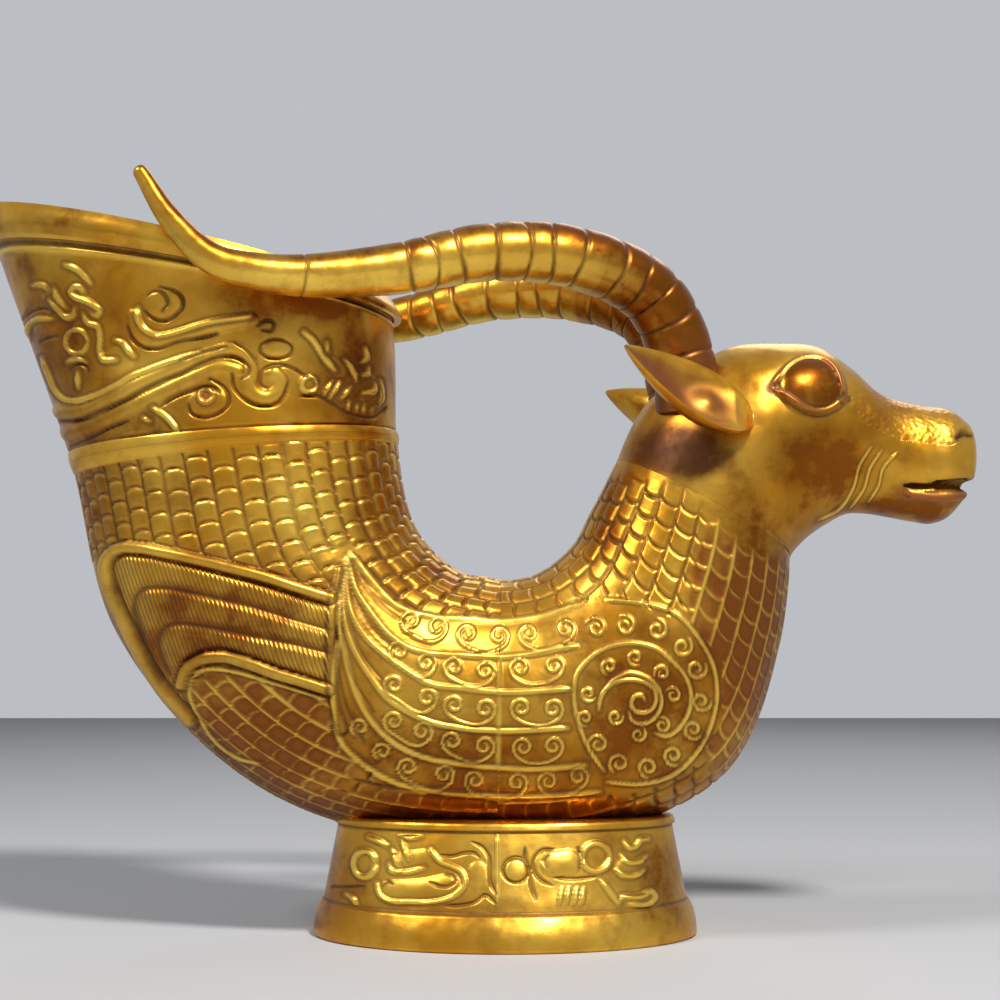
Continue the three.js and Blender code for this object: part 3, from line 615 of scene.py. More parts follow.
def carve_wing(relief, wing_rib, leaf_edge):
    """Hatched bars like pillows between two ribs, parted by grooves."""
    inner_rib = through(INNER_RIB)
    hatched = relief.inside(WING_RIB + INNER_RIB[::-1])
    grooves = np.minimum.reduce([relief.nearest(through(line))[0] for line in WING_GROOVES])
    ribs = np.minimum(relief.nearest(wing_rib)[0], relief.nearest(inner_rib)[0]) - RIB_HALF
    from_groove = np.minimum(grooves, np.clip(ribs, 0, None))
    relief.field += hatched * PILLOW_HIGH * (1 - hill(from_groove, PILLOW_SIDE))
    relief.mark("grime_and_shade", WING_DIRT * hill(grooves, WING_DIRT_WIDE))
    relief.marks["hatch"] = hatched * np.clip((from_groove - HATCH_FROM) / HATCH_FADE, 0, 1)
    relief.rib(wing_rib, RIB_HALF, WING_RIB_HIGH)
    relief.rib(inner_rib, RIB_HALF, INNER_RIB_HIGH)
    relief.rib(through(WING_BORDER), BORDER_HALF, BORDER_HIGH)
    relief.raised(leaf_edge, *LEAF_STROKE)


# %% Carve the body
RIB_CLEAR, LEAF_CLEAR = 7.0, 2.0  # how far the scales keep away
BAND_STROKE, PLUME_STROKE, PAIR_STROKE, MEDALLION_STROKE = (3.0, 0.5), (1.8, 0.35), (1.7, 0.45), (2.3, 0.5)
PAIR_RADIUS, PAIR_TURNS, PAIR_INNER = 10.0, 1.2, 0.28
PAIR_SIDE, PAIR_LOW = (0.8, 0.7), (0.2, 1.45)  # where the joining line passes, in radii
CURLS = [  # middles, radius, turns, start, turn from each to the next, inner share, stroke
    (SINGLE_CURLS, 10.0, 1.3, 120, 0, 0.26, (1.8, 0.5)),
    (INNER_CURLS, 8.5, 1.3, 60, 47, 0.26, (1.8, 0.5)),
    (OUTER_CURLS, 11.0, 1.35, 210, 30, 0.25, (1.9, 0.5)),
]
SEAM_HIGH, SEAM_WIDE = 0.35, 0.5


def spiral_pair(left, right):
    """Two spirals, wound over the top towards each other and joined by a line below."""
    side_x, side_y, low_x, low_y = np.array(PAIR_SIDE + PAIR_LOW) * PAIR_RADIUS
    first = spiral(left, PAIR_RADIUS, PAIR_TURNS, 180, 1, PAIR_INNER)[::-1]
    below = [
        (left[0] - side_x, left[1] + side_y),
        (left[0] + low_x, left[1] + low_y),
        (right[0] - low_x, right[1] + low_y),
        (right[0] + side_x, right[1] + side_y),
    ]
    joined = through([first[-1], *below, (right[0] + PAIR_RADIUS, right[1])])
    return np.concatenate([first, joined, spiral(right, PAIR_RADIUS, PAIR_TURNS, 0, -1, PAIR_INNER)])


def free_for_scales(relief, wing_rib, leaf_edge):
    """Where scales may lie. They fade out towards the bare neck."""
    taken = relief.inside(WING_AREA) | relief.inside(PLUME_AREA) | relief.inside(BARE_NECK)
    past_rib, past_leaf = relief.nearest(wing_rib)[0] - RIB_CLEAR, relief.nearest(leaf_edge)[0] - LEAF_CLEAR
    fade = np.clip(relief.nearest(np.array(BARE_NECK[1:-1], float))[0] / NECK_FADE, 0, 1)
    return (~taken & (np.minimum(past_rib, past_leaf) > 0)) * fade


def net_share(relief):
    """1 where the scales are a net, and 0 where they are plain."""
    share = np.maximum.reduce([relief.patch(middle, radii) for middle, radii in NET_PATCHES])
    return np.clip((share - NET_EDGE[0]) / (NET_EDGE[1] - NET_EDGE[0]), 0, 1)


def carve_body(places, t, turned, columns):
    relief = Relief(places)
    wing_rib, leaf_edge = through(WING_RIB), through(LEAF_EDGE)
    scales(relief, t, turned, columns, free_for_scales(relief, wing_rib, leaf_edge), net_share(relief))
    carve_wing(relief, wing_rib, leaf_edge)
    for line in BAND_LINES:
        relief.raised(through(line), *BAND_STROKE)
    for line in PLUME_LINES:
        relief.cut(through(line), *PLUME_STROKE)
    for left, right in SPIRAL_PAIRS:
        relief.raised(spiral_pair(left, right), *PAIR_STROKE)
    for line in MEDALLION_LINES:
        relief.raised(through(line), *MEDALLION_STROKE)
    for middles, radius, turns, start, turn, inner, stroke in CURLS:
        for number, middle in enumerate(middles):
            relief.raised(spiral(middle, radius, turns, start + turn * number, 1, inner), *stroke)
    down = relief.spots[:, 1]
    shows = (down > SEAM_SHOWS[0]) & (down < SEAM_SHOWS[1])
    relief.ridge(shows * SEAM_HIGH * hill(t - SEAM, SEAM_WIDE))
    relief.patina_and_shade(BODY_PATINA_AND_SHADE + NECK_PATINA_AND_SHADE)
    return relief


# %% Rear casting
WALL, SOCKET_WALL, FIT, SEAM_LAP, NECK_LAP, BULKHEAD = 3.0, 1.5, 0.3, 4.0, 7.0, 2.5
SPIGOT = SOCKET_WALL + FIT
GAP = 0.02  # what shows of a joint line
FILLET_WIDTH, FILLET_PROUD, FILLET_EASE = 4.0, 0.6, 0.3
BEAD_ROUND = 1.1  # the angle to which the fillet's band is rounded on each side
BEAD_SIDE = FILLET_PROUD * math.cos(BEAD_ROUND)


def bead(rows):
    """Rounds the fillet's band, which is cut in two by the joint."""
    proud = rows[:, 1] == FILLET_PROUD
    rows[proud, 1] *= np.cos(BEAD_ROUND * (rows[proud, 0] - FILLET) / (FILLET_WIDTH / 2))


fillet_foot = FILLET + FILLET_WIDTH / 2
rear_rows = profile(
    (FILLET, fillet_foot, FILLET_PROUD, FILLET_PROUD, GAP, 6, 0),
    (fillet_foot, fillet_foot + FILLET_EASE, BEAD_SIDE, 0, 0, 2, 0),
    (fillet_foot + FILLET_EASE, SEAM - GAP, 0, 0, 0, 215, 1),
    (SEAM - GAP, SEAM - GAP, 0, -SOCKET_WALL, 0, 2, 0),
    (SEAM - GAP, SEAM - SEAM_LAP, -SOCKET_WALL, -SOCKET_WALL, 0, 2, 0),
    (SEAM - SEAM_LAP, SEAM - SEAM_LAP, -SOCKET_WALL, -WALL, 0, 1, 0),
    (SEAM - SEAM_LAP, FILLET + SEAM_LAP, -WALL, -WALL, 0, 14, 0),
    (FILLET + SEAM_LAP, FILLET + SEAM_LAP, -WALL, -SOCKET_WALL, 0, 1, 0),
    (FILLET + SEAM_LAP, FILLET, -SOCKET_WALL, -SOCKET_WALL, GAP, 2, 0),
    (FILLET, FILLET, -SOCKET_WALL, FILLET_PROUD, GAP, 2, 0),
)
bead(rear_rows)


def carve_rear(places, t, turned):
    return carve_body(places, t, turned, REAR_COLUMNS)


rear_belly = vessel_piece("rear_belly_relief", rear_rows, REAR_ROUND, carve_rear)

# %% Front casting
NECK_LEDGE = NECK - NECK_LAP - BULKHEAD - 2 * FIT
spigot_end = SEAM - SEAM_LAP + FIT
front_rows = profile(
    (SEAM + GAP, NECK - GAP, 0, 0, 0, 220, 1),
    (NECK - GAP, NECK - GAP, 0, -SOCKET_WALL, 0, 2, 0),
    (NECK - GAP, NECK_LEDGE, -SOCKET_WALL, -SOCKET_WALL, 0, 3, 0),
    (NECK_LEDGE, NECK_LEDGE, -SOCKET_WALL, -WALL, 0, 1, 0),
    (NECK_LEDGE, spigot_end, -WALL, -WALL, 0, 12, 0),
    (spigot_end, spigot_end, -WALL, -SPIGOT, 0, 1, 0),
    (spigot_end, SEAM + GAP, -SPIGOT, -SPIGOT, 0, 2, 0),
    (SEAM + GAP, SEAM + GAP, -SPIGOT, 0, 0, 2, 0),
)


def carve_front(places, t, turned):
    return carve_body(places, t, turned, FRONT_COLUMNS)


front_body = vessel_piece("front_body_relief", front_rows, FRONT_ROUND, carve_front)

# %% [markdown]
# The cup's bell carries larger, freer work: broad ribbons that end in volutes, an eye-shaped curl, a small
# mask near the back edge and a feathered curl at the front. A ribbon is a soft body between two cut contours,
# so bodies come first, then the cuts, and the thin bright ridges last.

# %% Bodies of the bell
BELL_BODIES = [  # line, half its breadth, height
    ([(134, 316), (138, 331), (149, 341), (163, 342), (179, 337), (200, 331), (230, 324),
      (252, 320)], 7.0, 0.6),
    ([(160, 304), (166, 304)], 17.0, 0.6),
    ([(60, 411), (85, 411), (110, 399), (140, 385), (165, 374), (190, 363), (215, 353), (236, 349),
      (248, 356), (251, 372), (249, 386), (257, 396), (268, 398), (278, 391), (281, 381),
      (275, 374)], 7.5, 0.8),
    ([(66, 433), (95, 425), (125, 411), (150, 399), (175, 387), (200, 376), (222, 369),
      (236, 372)], 7.0, 0.55),
    ([(268, 349), (284, 349)], 9.0, 0.6),
    ([(197, 405), (216, 401)], 11.0, 0.5),
    ([(76, 452), (130, 432)], 5.0, 0.3),
    ([(108, 365), (122, 358)], 13.0, 0.5),
    ([(309, 385), (310, 386)], 8.0, 0.5),
    ([(78, 296), (92, 308)], 7.0, 0.45),
    ([(48, 298), (66, 314)], 6.0, 0.4),
    ([(40, 326), (52, 325)], 7.0, 0.4),
    ([(345, 388), (366, 384), (372, 398)], 11.0, 0.45),
    ([(330, 362), (344, 372)], 8.0, 0.35),
]
print("The bell has", len(BELL_BODIES), "raised bodies")

# %% Cuts of the bell
BELL_CUTS = [
    [(180, 361), (191, 357), (209, 351), (226, 347)],
    [(234, 343), (244, 348), (252, 356), (256, 364)],
    [(60, 421), (78, 420), (100, 411), (127, 399), (145, 389), (164, 380), (182, 373), (200, 364),
     (220, 357), (234, 357), (244, 362), (249, 369), (247, 376), (242, 379)],
    [(71, 446), (91, 437), (109, 428), (128, 421)],
    [(94, 451), (109, 447), (128, 440)],
    [(160, 407), (171, 399), (182, 394), (191, 391), (204, 387), (213, 387), (220, 393)],
    [(189, 404), (191, 413), (200, 417), (222, 411), (229, 403), (228, 393), (220, 384), (210, 379)],
    [(232, 374), (234, 387), (242, 397), (253, 404), (265, 406), (276, 404), (284, 395), (287, 384)],
    [(268, 388), (262, 386), (260, 378), (264, 369), (274, 365), (289, 366), (302, 373), (312, 380)],
    [(147, 297), (152, 292), (159, 291), (166, 296), (168, 304), (163, 311)],
    [(160, 287), (173, 290), (182, 297), (183, 306), (176, 315), (164, 321), (152, 318), (145, 311)],
    [(127, 326), (134, 342), (145, 348), (160, 348), (178, 342), (200, 338), (217, 334)],
    [(23, 319), (31, 311), (42, 308), (53, 313)],
    [(40, 342), (48, 337), (58, 336)],
    [(73, 471), (87, 462), (109, 455), (134, 446), (156, 441), (182, 437), (220, 431), (266, 426)],
    [(290, 424), (330, 424), (376, 425)],
    [(300, 396), (318, 396), (334, 404), (349, 413), (363, 417), (376, 417), (386, 407)],
    [(70, 370), (75, 364), (82, 364), (89, 371)],
    [(258, 326), (266, 320), (275, 323), (272, 330), (262, 330)],
]
print("Cuts round them:", len(BELL_CUTS))

# %% Ridges, worn patches and a painted shadow of the bell
BELL_RIDGES = [
    [(65, 265), (76, 269), (85, 277), (91, 284)],
    [(84, 293), (81, 288), (75, 287), (71, 293), (76, 298), (85, 301), (94, 305), (100, 311), (97, 316),
     (92, 314)],
    [(33, 286), (43, 285), (50, 292)],
    [(53, 288), (58, 298), (66, 308)],
    [(51, 301), (60, 311), (67, 318), (73, 317), (75, 308)],
    [(27, 338), (29, 326), (36, 320), (53, 319)],
    [(42, 358), (49, 375), (56, 391), (64, 399), (76, 401), (91, 397), (116, 386), (131, 377), (146, 371),
     (164, 364), (182, 358), (200, 353)],
    [(83, 314), (89, 324), (97, 326), (100, 337), (100, 352), (104, 360), (117, 360)],
    [(115, 340), (124, 344), (129, 351), (134, 356)],
    [(67, 362), (76, 359), (86, 362)],
    [(78, 372), (78, 388)],
    [(138, 308), (139, 319), (146, 330), (156, 335), (173, 333), (189, 328), (205, 323), (250, 316)],
    [(153, 408), (164, 415), (171, 422), (176, 431), (172, 436), (158, 435)],
    [(143, 418), (150, 421)],
    [(304, 332), (312, 339), (320, 351), (326, 361), (334, 370)],
    [(327, 343), (327, 352)],
    [(345, 360), (350, 367), (354, 375), (355, 381)],
    [(365, 348), (366, 359), (361, 363)],
    [(369, 368), (367, 374), (361, 376)],
    [(374, 384), (373, 391), (362, 393)],
    [(380, 381), (381, 391), (380, 401), (376, 406)],
]
BELL_EYE = (206, 396)
BELL_RINGS = [((77, 342), 11, 1.1), ((309, 385), 8, 1.0), (BELL_EYE, 7, 1.0)]
BELL_OVAL = ((276, 349), 16, 0.62)
FEATHER_STROKES = [
    [(333, 381), (324, 395)], [(340, 382), (329, 399)], [(350, 387), (341, 399)],
    [(350, 401), (348, 410)], [(358, 404), (356, 412)], [(364, 405), (364, 413)],
    [(373, 407), (371, 413)],
]
# The patch at (300, 302) is the horn's shadow on the bell, painted brown.
BELL_PATINA_AND_SHADOW = [
    ((55, 350), (55, 80), 0.9), ((110, 432), (95, 34), 1.0), ((350, 380), (45, 65), 1.1),
    ((180, 402), (45, 25), 0.55), ((100, 310), (35, 45), 0.5), ((300, 302), (110, 30), 1.3),
    ((20, 265), (30, 30), 0.7),
]
print("Ridges on the bell:", len(BELL_RIDGES) + len(BELL_RINGS) + len(FEATHER_STROKES))

# %% Carve the bell
RIM_HEIGHT, RIM_THICKNESS, RIM_BULGE, RIM_TOP, RIM_INNER_LIP = 5.5, 1.5, 0.7, 1.2, 3.0
CUT_STROKE, OVAL_STROKE, RIDGE_STROKE, RING_STROKE = (2.4, 0.65), (2.1, 0.55), (3.1, 0.65), (2.5, 0.65)
FEATHER_STROKE = (2.6, 0.55, 0.9)  # the last number is the dirt beside it
OVER_FILLET_AT, OVER_FILLET_WIDE, OVER_FILLET_DEEP, OVER_FILLET_DIRT = 2.4, 0.4, 0.35, 0.8
UNDER_RIM_AT, UNDER_RIM_WIDE, UNDER_RIM_DEEP = 0.5, 0.7, 0.5
RIM_LINE_AT, RIM_LINE_WIDE, RIM_LINE_HIGH = 1.9, 0.6, 0.3
BELL_EYE_REACH, BELL_EYE_ROUGE = 8.0, 0.8


def carve_bell(places, t, turned):
    relief = Relief(places)
    for points, half, height in BELL_BODIES:
        relief.bar(through(points), half, height)
    for line in BELL_CUTS:
        relief.cut(through(line), *CUT_STROKE)
    relief.cut(ring(*BELL_OVAL), *OVAL_STROKE)
    for line in BELL_RIDGES:
        relief.raised(through(line), *RIDGE_STROKE)
    for shape in BELL_RINGS:
        relief.raised(ring(*shape), *RING_STROKE)
    for line in FEATHER_STROKES:
        relief.raised(through(line), *FEATHER_STROKE)
    over_fillet = hill(t - FILLET + OVER_FILLET_AT, OVER_FILLET_WIDE)
    under_rim = hill(t - RIM_HEIGHT - UNDER_RIM_AT, UNDER_RIM_WIDE)
    relief.sink(np.maximum(OVER_FILLET_DEEP * over_fillet, UNDER_RIM_DEEP * under_rim))
    relief.mark("grime_and_shade", np.maximum(OVER_FILLET_DIRT * over_fillet, under_rim))
    relief.ridge(RIM_LINE_HIGH * hill(t - RIM_HEIGHT - RIM_LINE_AT, RIM_LINE_WIDE))
    relief.marks["rouge"] = BELL_EYE_ROUGE * hill(relief.away(BELL_EYE, BELL_EYE_REACH), 1.0)
    relief.patina_and_shade(BELL_PATINA_AND_SHADOW)
    return relief


# %% Bell
fillet_top = FILLET - FILLET_WIDTH / 2
bell_end = FILLET + SEAM_LAP - FIT
bell_rows = profile(
    (0, fillet_top - FILLET_EASE, 0, 0, 0, 140, 1),
    (fillet_top - FILLET_EASE, fillet_top, 0, BEAD_SIDE, 0, 2, 0),
    (fillet_top, FILLET, FILLET_PROUD, FILLET_PROUD, -GAP, 6, 0),
    (FILLET, FILLET, FILLET_PROUD, -SPIGOT, -GAP, 2, 0),
    (FILLET, bell_end, -SPIGOT, -SPIGOT, 0, 2, 0),
    (bell_end, bell_end, -SPIGOT, -WALL, 0, 1, 0),
    (bell_end, 0, -WALL, -WALL, 0, 24, 0),
    (0, 0, -WALL, 0, 0, 2, 0),
)
bead(bell_rows)
cup_bell = vessel_piece("cup_bell_relief", bell_rows, BELL_ROUND, carve_bell)

# %% Rim
RIM_OUT = FIT + RIM_THICKNESS
RIM_IN = -WALL - FIT - RIM_THICKNESS
RIM_EASE, RIM_UNDER_EASE, RIM_SIDE_EASE, RIM_TOP_EASE, RIM_LIP_EASE = 0.5, 0.4, 0.25, 0.8, 0.2
rim_rows = profile(
    (RIM_HEIGHT, RIM_HEIGHT, FIT, RIM_OUT - RIM_UNDER_EASE, 0, 3, 0),
    (RIM_HEIGHT, RIM_HEIGHT - RIM_EASE, RIM_OUT - RIM_UNDER_EASE, RIM_OUT, 0, 4, 0),
    (RIM_HEIGHT - RIM_EASE, 0, RIM_OUT, RIM_OUT, 0, 16, 1),
    (0, 0, RIM_OUT, RIM_OUT - RIM_SIDE_EASE, -RIM_EASE, 3, 1),
    (0, 0, RIM_OUT - RIM_SIDE_EASE, RIM_OUT - RIM_TOP_EASE, -FIT - RIM_TOP, 4, 1),
    (0, 0, RIM_OUT - RIM_TOP_EASE, RIM_IN + RIM_TOP_EASE, -FIT - RIM_TOP, 8, 1),
    (0, 0, RIM_IN + RIM_TOP_EASE, RIM_IN + RIM_LIP_EASE, -RIM_EASE, 4, 1),
    (0, RIM_INNER_LIP, RIM_IN, RIM_IN, 0, 8, 0),
    (RIM_INNER_LIP, RIM_INNER_LIP, RIM_IN, -WALL - FIT, 0, 2, 0),
    (RIM_INNER_LIP, 0, -WALL - FIT, -WALL - FIT, -FIT, 2, 0),
    (0, 0, -WALL - FIT, FIT, -FIT, 2, 0),
    (0, RIM_HEIGHT, FIT, FIT, 0, 4, 0),
)
outside = rim_rows[:, 1] >= RIM_OUT
rim_rows[:, 1] += outside * RIM_BULGE * np.sin(math.pi * rim_rows[:, 0] / RIM_HEIGHT)
# All three are painted shade: the left end that turns from the lamp, and the stretch in the horn's shadow.
RIM_PAINTED_SHADE = [((60, 232), (40, 30), 0.7), ((200, 262), (70, 22), 0.5), ((350, 300), (60, 30), 0.8)]


def carve_rim(places, t, turned):
    relief = Relief(places)
    relief.patina_and_shade(RIM_PAINTED_SHADE)
    return relief


mouth_rim = vessel_piece("mouth_rim_band", rim_rows, RIM_ROUND, carve_rim)

# %% [markdown]
# The head is one more oval surface, from the neck to the lips, closed at both ends. Eye, lids, creases and
# mouth are drawn on the same picture plane. The eye is a dome that fills its lids. The mouth is a cut at the
# sides, and at the front the lips are drawn back along it, so that the slit runs round the muzzle and stays
# dark. Under the ear the head is dark with the ear's painted shadow, laid over dirt and patina.

# %% Features of the head
EYE_MIDDLE = (813, 386)
EYE_LONG, EYE_HIGH, EYE_RISE = 34.0, 28.0, 2.5
UPPER_LID = [(771, 388), (780, 376), (790, 366), (805, 359), (822, 361), (836, 372), (842, 388), (843, 400)]
LOWER_LID = [(773, 389), (784, 396), (794, 403), (807, 410), (824, 412), (836, 407), (845, 399)]
CREASES = [
    [(872, 446), (860, 464), (853, 488), (840, 508), (818, 520)],
    [(882, 450), (870, 468), (864, 488), (850, 508)],
    [(898, 452), (883, 468), (878, 486), (868, 502)],
]
MOUTH = [(905, 486), (925, 487), (945, 486), (972, 484)]
MOUTH_FRONT = [(932, 486), (950, 486), (975, 484)]
LOWER_LIP = [(904, 493), (930, 497), (964, 496)]
NOSTRIL = [(957, 438), (963, 433), (970, 436)]
BRIDGE_AREA = [
    (845, 398), (862, 390), (900, 398), (955, 412), (975, 436), (950, 446), (900, 440), (866, 424),
]
# The patches along the underside of the jaw, at (880, 515) and (935, 514), are painted shade.
HEAD_PATINA_AND_SHADE = [
    ((818, 462), (56, 46), 1.35), ((800, 515), (70, 40), 0.8), ((880, 515), (75, 26), 1.1),
    ((862, 430), (36, 30), 0.7), ((760, 400), (30, 36), 0.5), ((935, 514), (46, 20), 1.5),
]
UNDER_EAR, UNDER_EAR_REACH = (684, 452), (56, 28)
print("The head has", len(CREASES), "creases on each cheek")

# %% Carve the head
LID_STROKE, CREASE_STROKE, LIP_STROKE = (2.9, 1.0, 0.9), (1.6, 0.42, 0.6), (4.6, 0.8, 0.2)
MOUTH_STROKE, MOUTH_FRONT_STROKE, NOSTRIL_STROKE = (3.6, 2.6, 1.0), (6.4, 4.4, 1.0), (4.0, 1.6, 1.0)
# the last is the brown of the eye's painted dark reflection
EYE_ROUND, EYEBALL, EYE_PAINTED_REFLECTION = 0.6, 0.85, 1.3
LIP_ROUGE_REACH, LID_ROUGE, LID_ROUGE_REACH, LID_DULL_REACH = 6.5, 0.7, 4.0, 5.0
# darkness and brown of the ear's painted shadow on the head, over dirt and patina
UNDER_EAR_SHADOW_GRIME, UNDER_EAR_SHADOW_BROWN = 0.85, 1.6


def carve_head(places):
    relief = Relief(places)
    from_eye = relief.away(EYE_MIDDLE, (EYE_LONG, EYE_HIGH))
    relief.field += EYE_RISE * np.clip(1 - from_eye**2, 0, 1) ** EYE_ROUND
    for line in (UPPER_LID, LOWER_LID):
        relief.raised(through(line), *LID_STROKE)
    for line in CREASES:
        relief.raised(through(line), *CREASE_STROKE)
    relief.cut(through(MOUTH), *MOUTH_STROKE)
    relief.cut(through(MOUTH_FRONT), *MOUTH_FRONT_STROKE)
    relief.raised(through(LOWER_LIP), *LIP_STROKE)
    relief.cut(through(NOSTRIL), *NOSTRIL_STROKE)
    relief.marks["pebble"] = np.where(relief.inside(BRIDGE_AREA), 1.0, 0.0)
    relief.marks["rouge"] = hill(relief.nearest(through(LOWER_LIP))[0], LIP_ROUGE_REACH)
    relief.patina_and_shade(HEAD_PATINA_AND_SHADE + NECK_PATINA_AND_SHADE)
    # painted shadow of the ear on the head, laid over dirt and brown patina
    ear_shadow = relief.patch(UNDER_EAR, UNDER_EAR_REACH)
    relief.mark("grime_and_shade", UNDER_EAR_SHADOW_GRIME * ear_shadow)
    relief.mark("brown", UNDER_EAR_SHADOW_BROWN * ear_shadow)
    # The eyeball is browned and not polished: a painted dark reflection.
    relief.mark("brown", EYE_PAINTED_REFLECTION * (from_eye < EYEBALL))
    lids = np.minimum(relief.nearest(through(UPPER_LID))[0], relief.nearest(through(LOWER_LID))[0])
    relief.mark("rouge", LID_ROUGE * hill(lids, LID_ROUGE_REACH))
    relief.marks["polish"] *= (from_eye > EYEBALL) * np.clip(lids / LID_DULL_REACH, 0, 1)
    return relief


# %% Head
NOSE_TIP, NOSE_ROWS = 2.6, 16
NOSE_LEAN = 0.32  # the angle at which the cap takes up the slope of the lips
MOUTH_RISE, MOUTH_HALF, MOUTH_DEEP, LIP_REACH = 5.2, 1.1, 4.5, 7.0
MOUTH_Z = neck_end[1] + MOUTH_RISE
head_rows = profile(
    (GAP, GAP, 0, 0, 0, 1, 1),
    (GAP, skull.end, 0, 0, 0, 270, 1),
    (skull.end, skull.end, 0, 0, 0, NOSE_ROWS, 1),
)


def shape_head(share, row):
    """Rows along the head, closed by a point inside the collar and by a rounded cap at the nose."""
    t = head_rows[row, 0]
    turned = round_angle(share)
    past = np.clip(row - (len(head_rows) - 1 - NOSE_ROWS), 0, None) / NOSE_ROWS
    cap_turn = NOSE_LEAN + past * (math.pi / 2 - NOSE_LEAN)
    shrink = np.cos(cap_turn) / math.cos(NOSE_LEAN)
    reach = NOSE_TIP * (np.sin(cap_turn) - math.sin(NOSE_LEAN)) / (1 - math.sin(NOSE_LEAN))
    middle = skull.middle(t)
    forward = np.cross([0.0, 1.0, 0.0], skull.across(t))

    def spot(height):
        on_oval = skull.place(t, turned, height) - middle
        return middle + on_oval * shrink[:, None] + forward * reach[:, None]

    relief = carve_head(spot(np.zeros_like(t)))
    places = spot(relief.height())
    at_lips = hill(skull.end - t, LIP_REACH)
    slit = at_lips * hill(places[:, 2] - MOUTH_Z, MOUTH_HALF)
    places -= forward * (MOUTH_DEEP * slit)[:, None]
    relief.mark("grime_and_shade", slit * (past > 0))
    collar = row == 0
    places[collar] = middle[collar]
    return places, relief.marks


head = rolled_sheet("head_relief", HEAD_ROUND, len(head_rows) - 1, shape_head)

# %% [markdown]
# Horns and ears: the horn is a tube round a line that starts in the crown, arches over and lies down beside
# the rim. Narrow grooves part its lower length into rings, and the tip is smooth. The ear is a leaf whose
# sections are crescents, widest near its root. Both are joined to the head with pegs, which stay hidden.

# %% Line of a horn
HORN_ROOT_RADIUS, HORN_TIP_RADIUS, HORN_TAPER = 8.0, 1.8, 2.0
HORN_ROOT_ALONG, HORN_ROOT_GAP = 14.8, 3.5
ARCH_REACH, ARCH_RISE, ARCH_SPREAD = 27.5, 28.5, 22.0
HORN_RUN = [(0.27, 2.3), (0.6, -0.9)]  # share of the way from the arch to the rim, and lift
HORN_BESIDE = [(20, -RIM_HEIGHT, 0.76), (11.5, -RIM_HEIGHT, 0.82), (3, 3, 0.92), (-1.2, 13.2, 1)]
ARCH_START = 0.1  # an angle that is small enough to give the arch's first direction


def horn_radius(share):
    return HORN_TIP_RADIUS + (HORN_ROOT_RADIUS - HORN_TIP_RADIUS) * (1 - share**HORN_TAPER)


def beside_rim(side, along, above, radius):
    """A point where a horn of some radius lies against the rim's band."""
    start = np.zeros(1)
    half, breadth = vessel.half(start)[0], vessel.half_breadth(start)[0] + RIM_OUT + RIM_BULGE
    turned = math.acos(along / half)
    across, tangent = vessel.across(start)[0], vessel.tangent(start)[0]
    out = across * math.cos(turned) / half + np.array([0, side * math.sin(turned) / breadth, 0])
    out *= (radius + FIT) / np.linalg.norm(out)
    edge = vessel.middle(start)[0] + across * along + [0, side * breadth * math.sin(turned), 0]
    return edge + out - tangent * above


def horn_root(side):
    along = np.full(1, HORN_ROOT_ALONG)
    turned = math.asin((HORN_ROOT_RADIUS + HORN_ROOT_GAP / 2) / skull.half_breadth(along)[0])
    return skull.place(along, np.full(1, side * turned))[0]


def horn_line(side):
    root = horn_root(side)

    def arch(turn):
        back = 1 - math.cos(turn)
        y = root[1] + (side * ARCH_SPREAD - root[1]) * back
        return np.array([root[0] - ARCH_REACH * back, y, root[2] + ARCH_RISE * math.sin(turn)])

    top = arch(math.pi / 2)
    beside = [beside_rim(side, along, above, horn_radius(share)) for along, above, share in HORN_BESIDE]
    run = [top + (beside[0] - top) * share + [0, 0, lift] for share, lift in HORN_RUN]
    rising = arch(ARCH_START) - root
    below = root - rising * (HORN_ROOT_RADIUS / np.linalg.norm(rising))
    points = np.array([below, root, arch(math.pi / 4), top, *run, *beside])
    reach = np.concatenate([[0.0], np.cumsum(np.linalg.norm(np.diff(points, axis=0), axis=1))])
    return reach, [course(reach, points[:, axis]) for axis in range(3)]


# %% Horns
HORN_ROWS, HORN_COLUMNS, TIP_ROWS = 520, 56, 8
HORN_RINGS, RINGED_SHARE, RING_FADE = 13, 0.6, 0.02
RING_SWELL, RING_GROOVE, RING_SHARE = 0.07, 0.4, 0.06  # heights, and the groove's share of a ring
RING_WAVER, RING_WAVES, RING_UNEVEN, RING_BEAT = 0.06, 90, 0.16, 1.7  # for grooves of uneven run
CRACK_SHARE, CRACK_WAVER, CRACK_WIDE, CRACK_DEEP = 0.7, 0.003, 0.002, 0.25
ROOT_WIDE, GROOVE_DIRT, CRACK_DIRT, ROOT_DIRT, ROOT_ROUGE = 0.05, 0.8, 0.9, 0.6, 0.5
ARCH_BROWN, ARCH_BROWN_AT, ARCH_BROWN_WIDE = 1.2, 0.12, 0.16
# brown painted as shade along the underside of the horn
UNDER_SHADE_BROWN, UNDER_EDGE = 0.8, 0.1
TIP_BROWN, TIP_BROWN_FROM, TIP_BROWN_OVER = 0.35, 0.72, 0.15
POLISH_EDGE, POLISH_FROM = 0.3, 0.25


def horn_marks(part, turned, groove, crack):
    """part is the share of the way from root to tip."""
    rooted = hill(part, ROOT_WIDE)
    arch = ARCH_BROWN * hill(part - ARCH_BROWN_AT, ARCH_BROWN_WIDE)
    # The underside is browned as painted shade, and the top half gets brighter gold.
    shaded_underside = np.clip(UNDER_EDGE - np.sin(turned), 0, UNDER_SHADE_BROWN) * (part > 0)
    tip = TIP_BROWN * np.clip((part - TIP_BROWN_FROM) / TIP_BROWN_OVER, 0, 1)
    return {
        "grime_and_shade": np.maximum.reduce([GROOVE_DIRT * groove, CRACK_DIRT * crack, ROOT_DIRT * rooted]),
        "brown": arch + shaded_underside + tip,
        "polish": np.clip(np.sin(turned) + POLISH_EDGE, 0, 1) * (1 - groove) * (part > POLISH_FROM),
        "rouge": ROOT_ROUGE * rooted,
    }


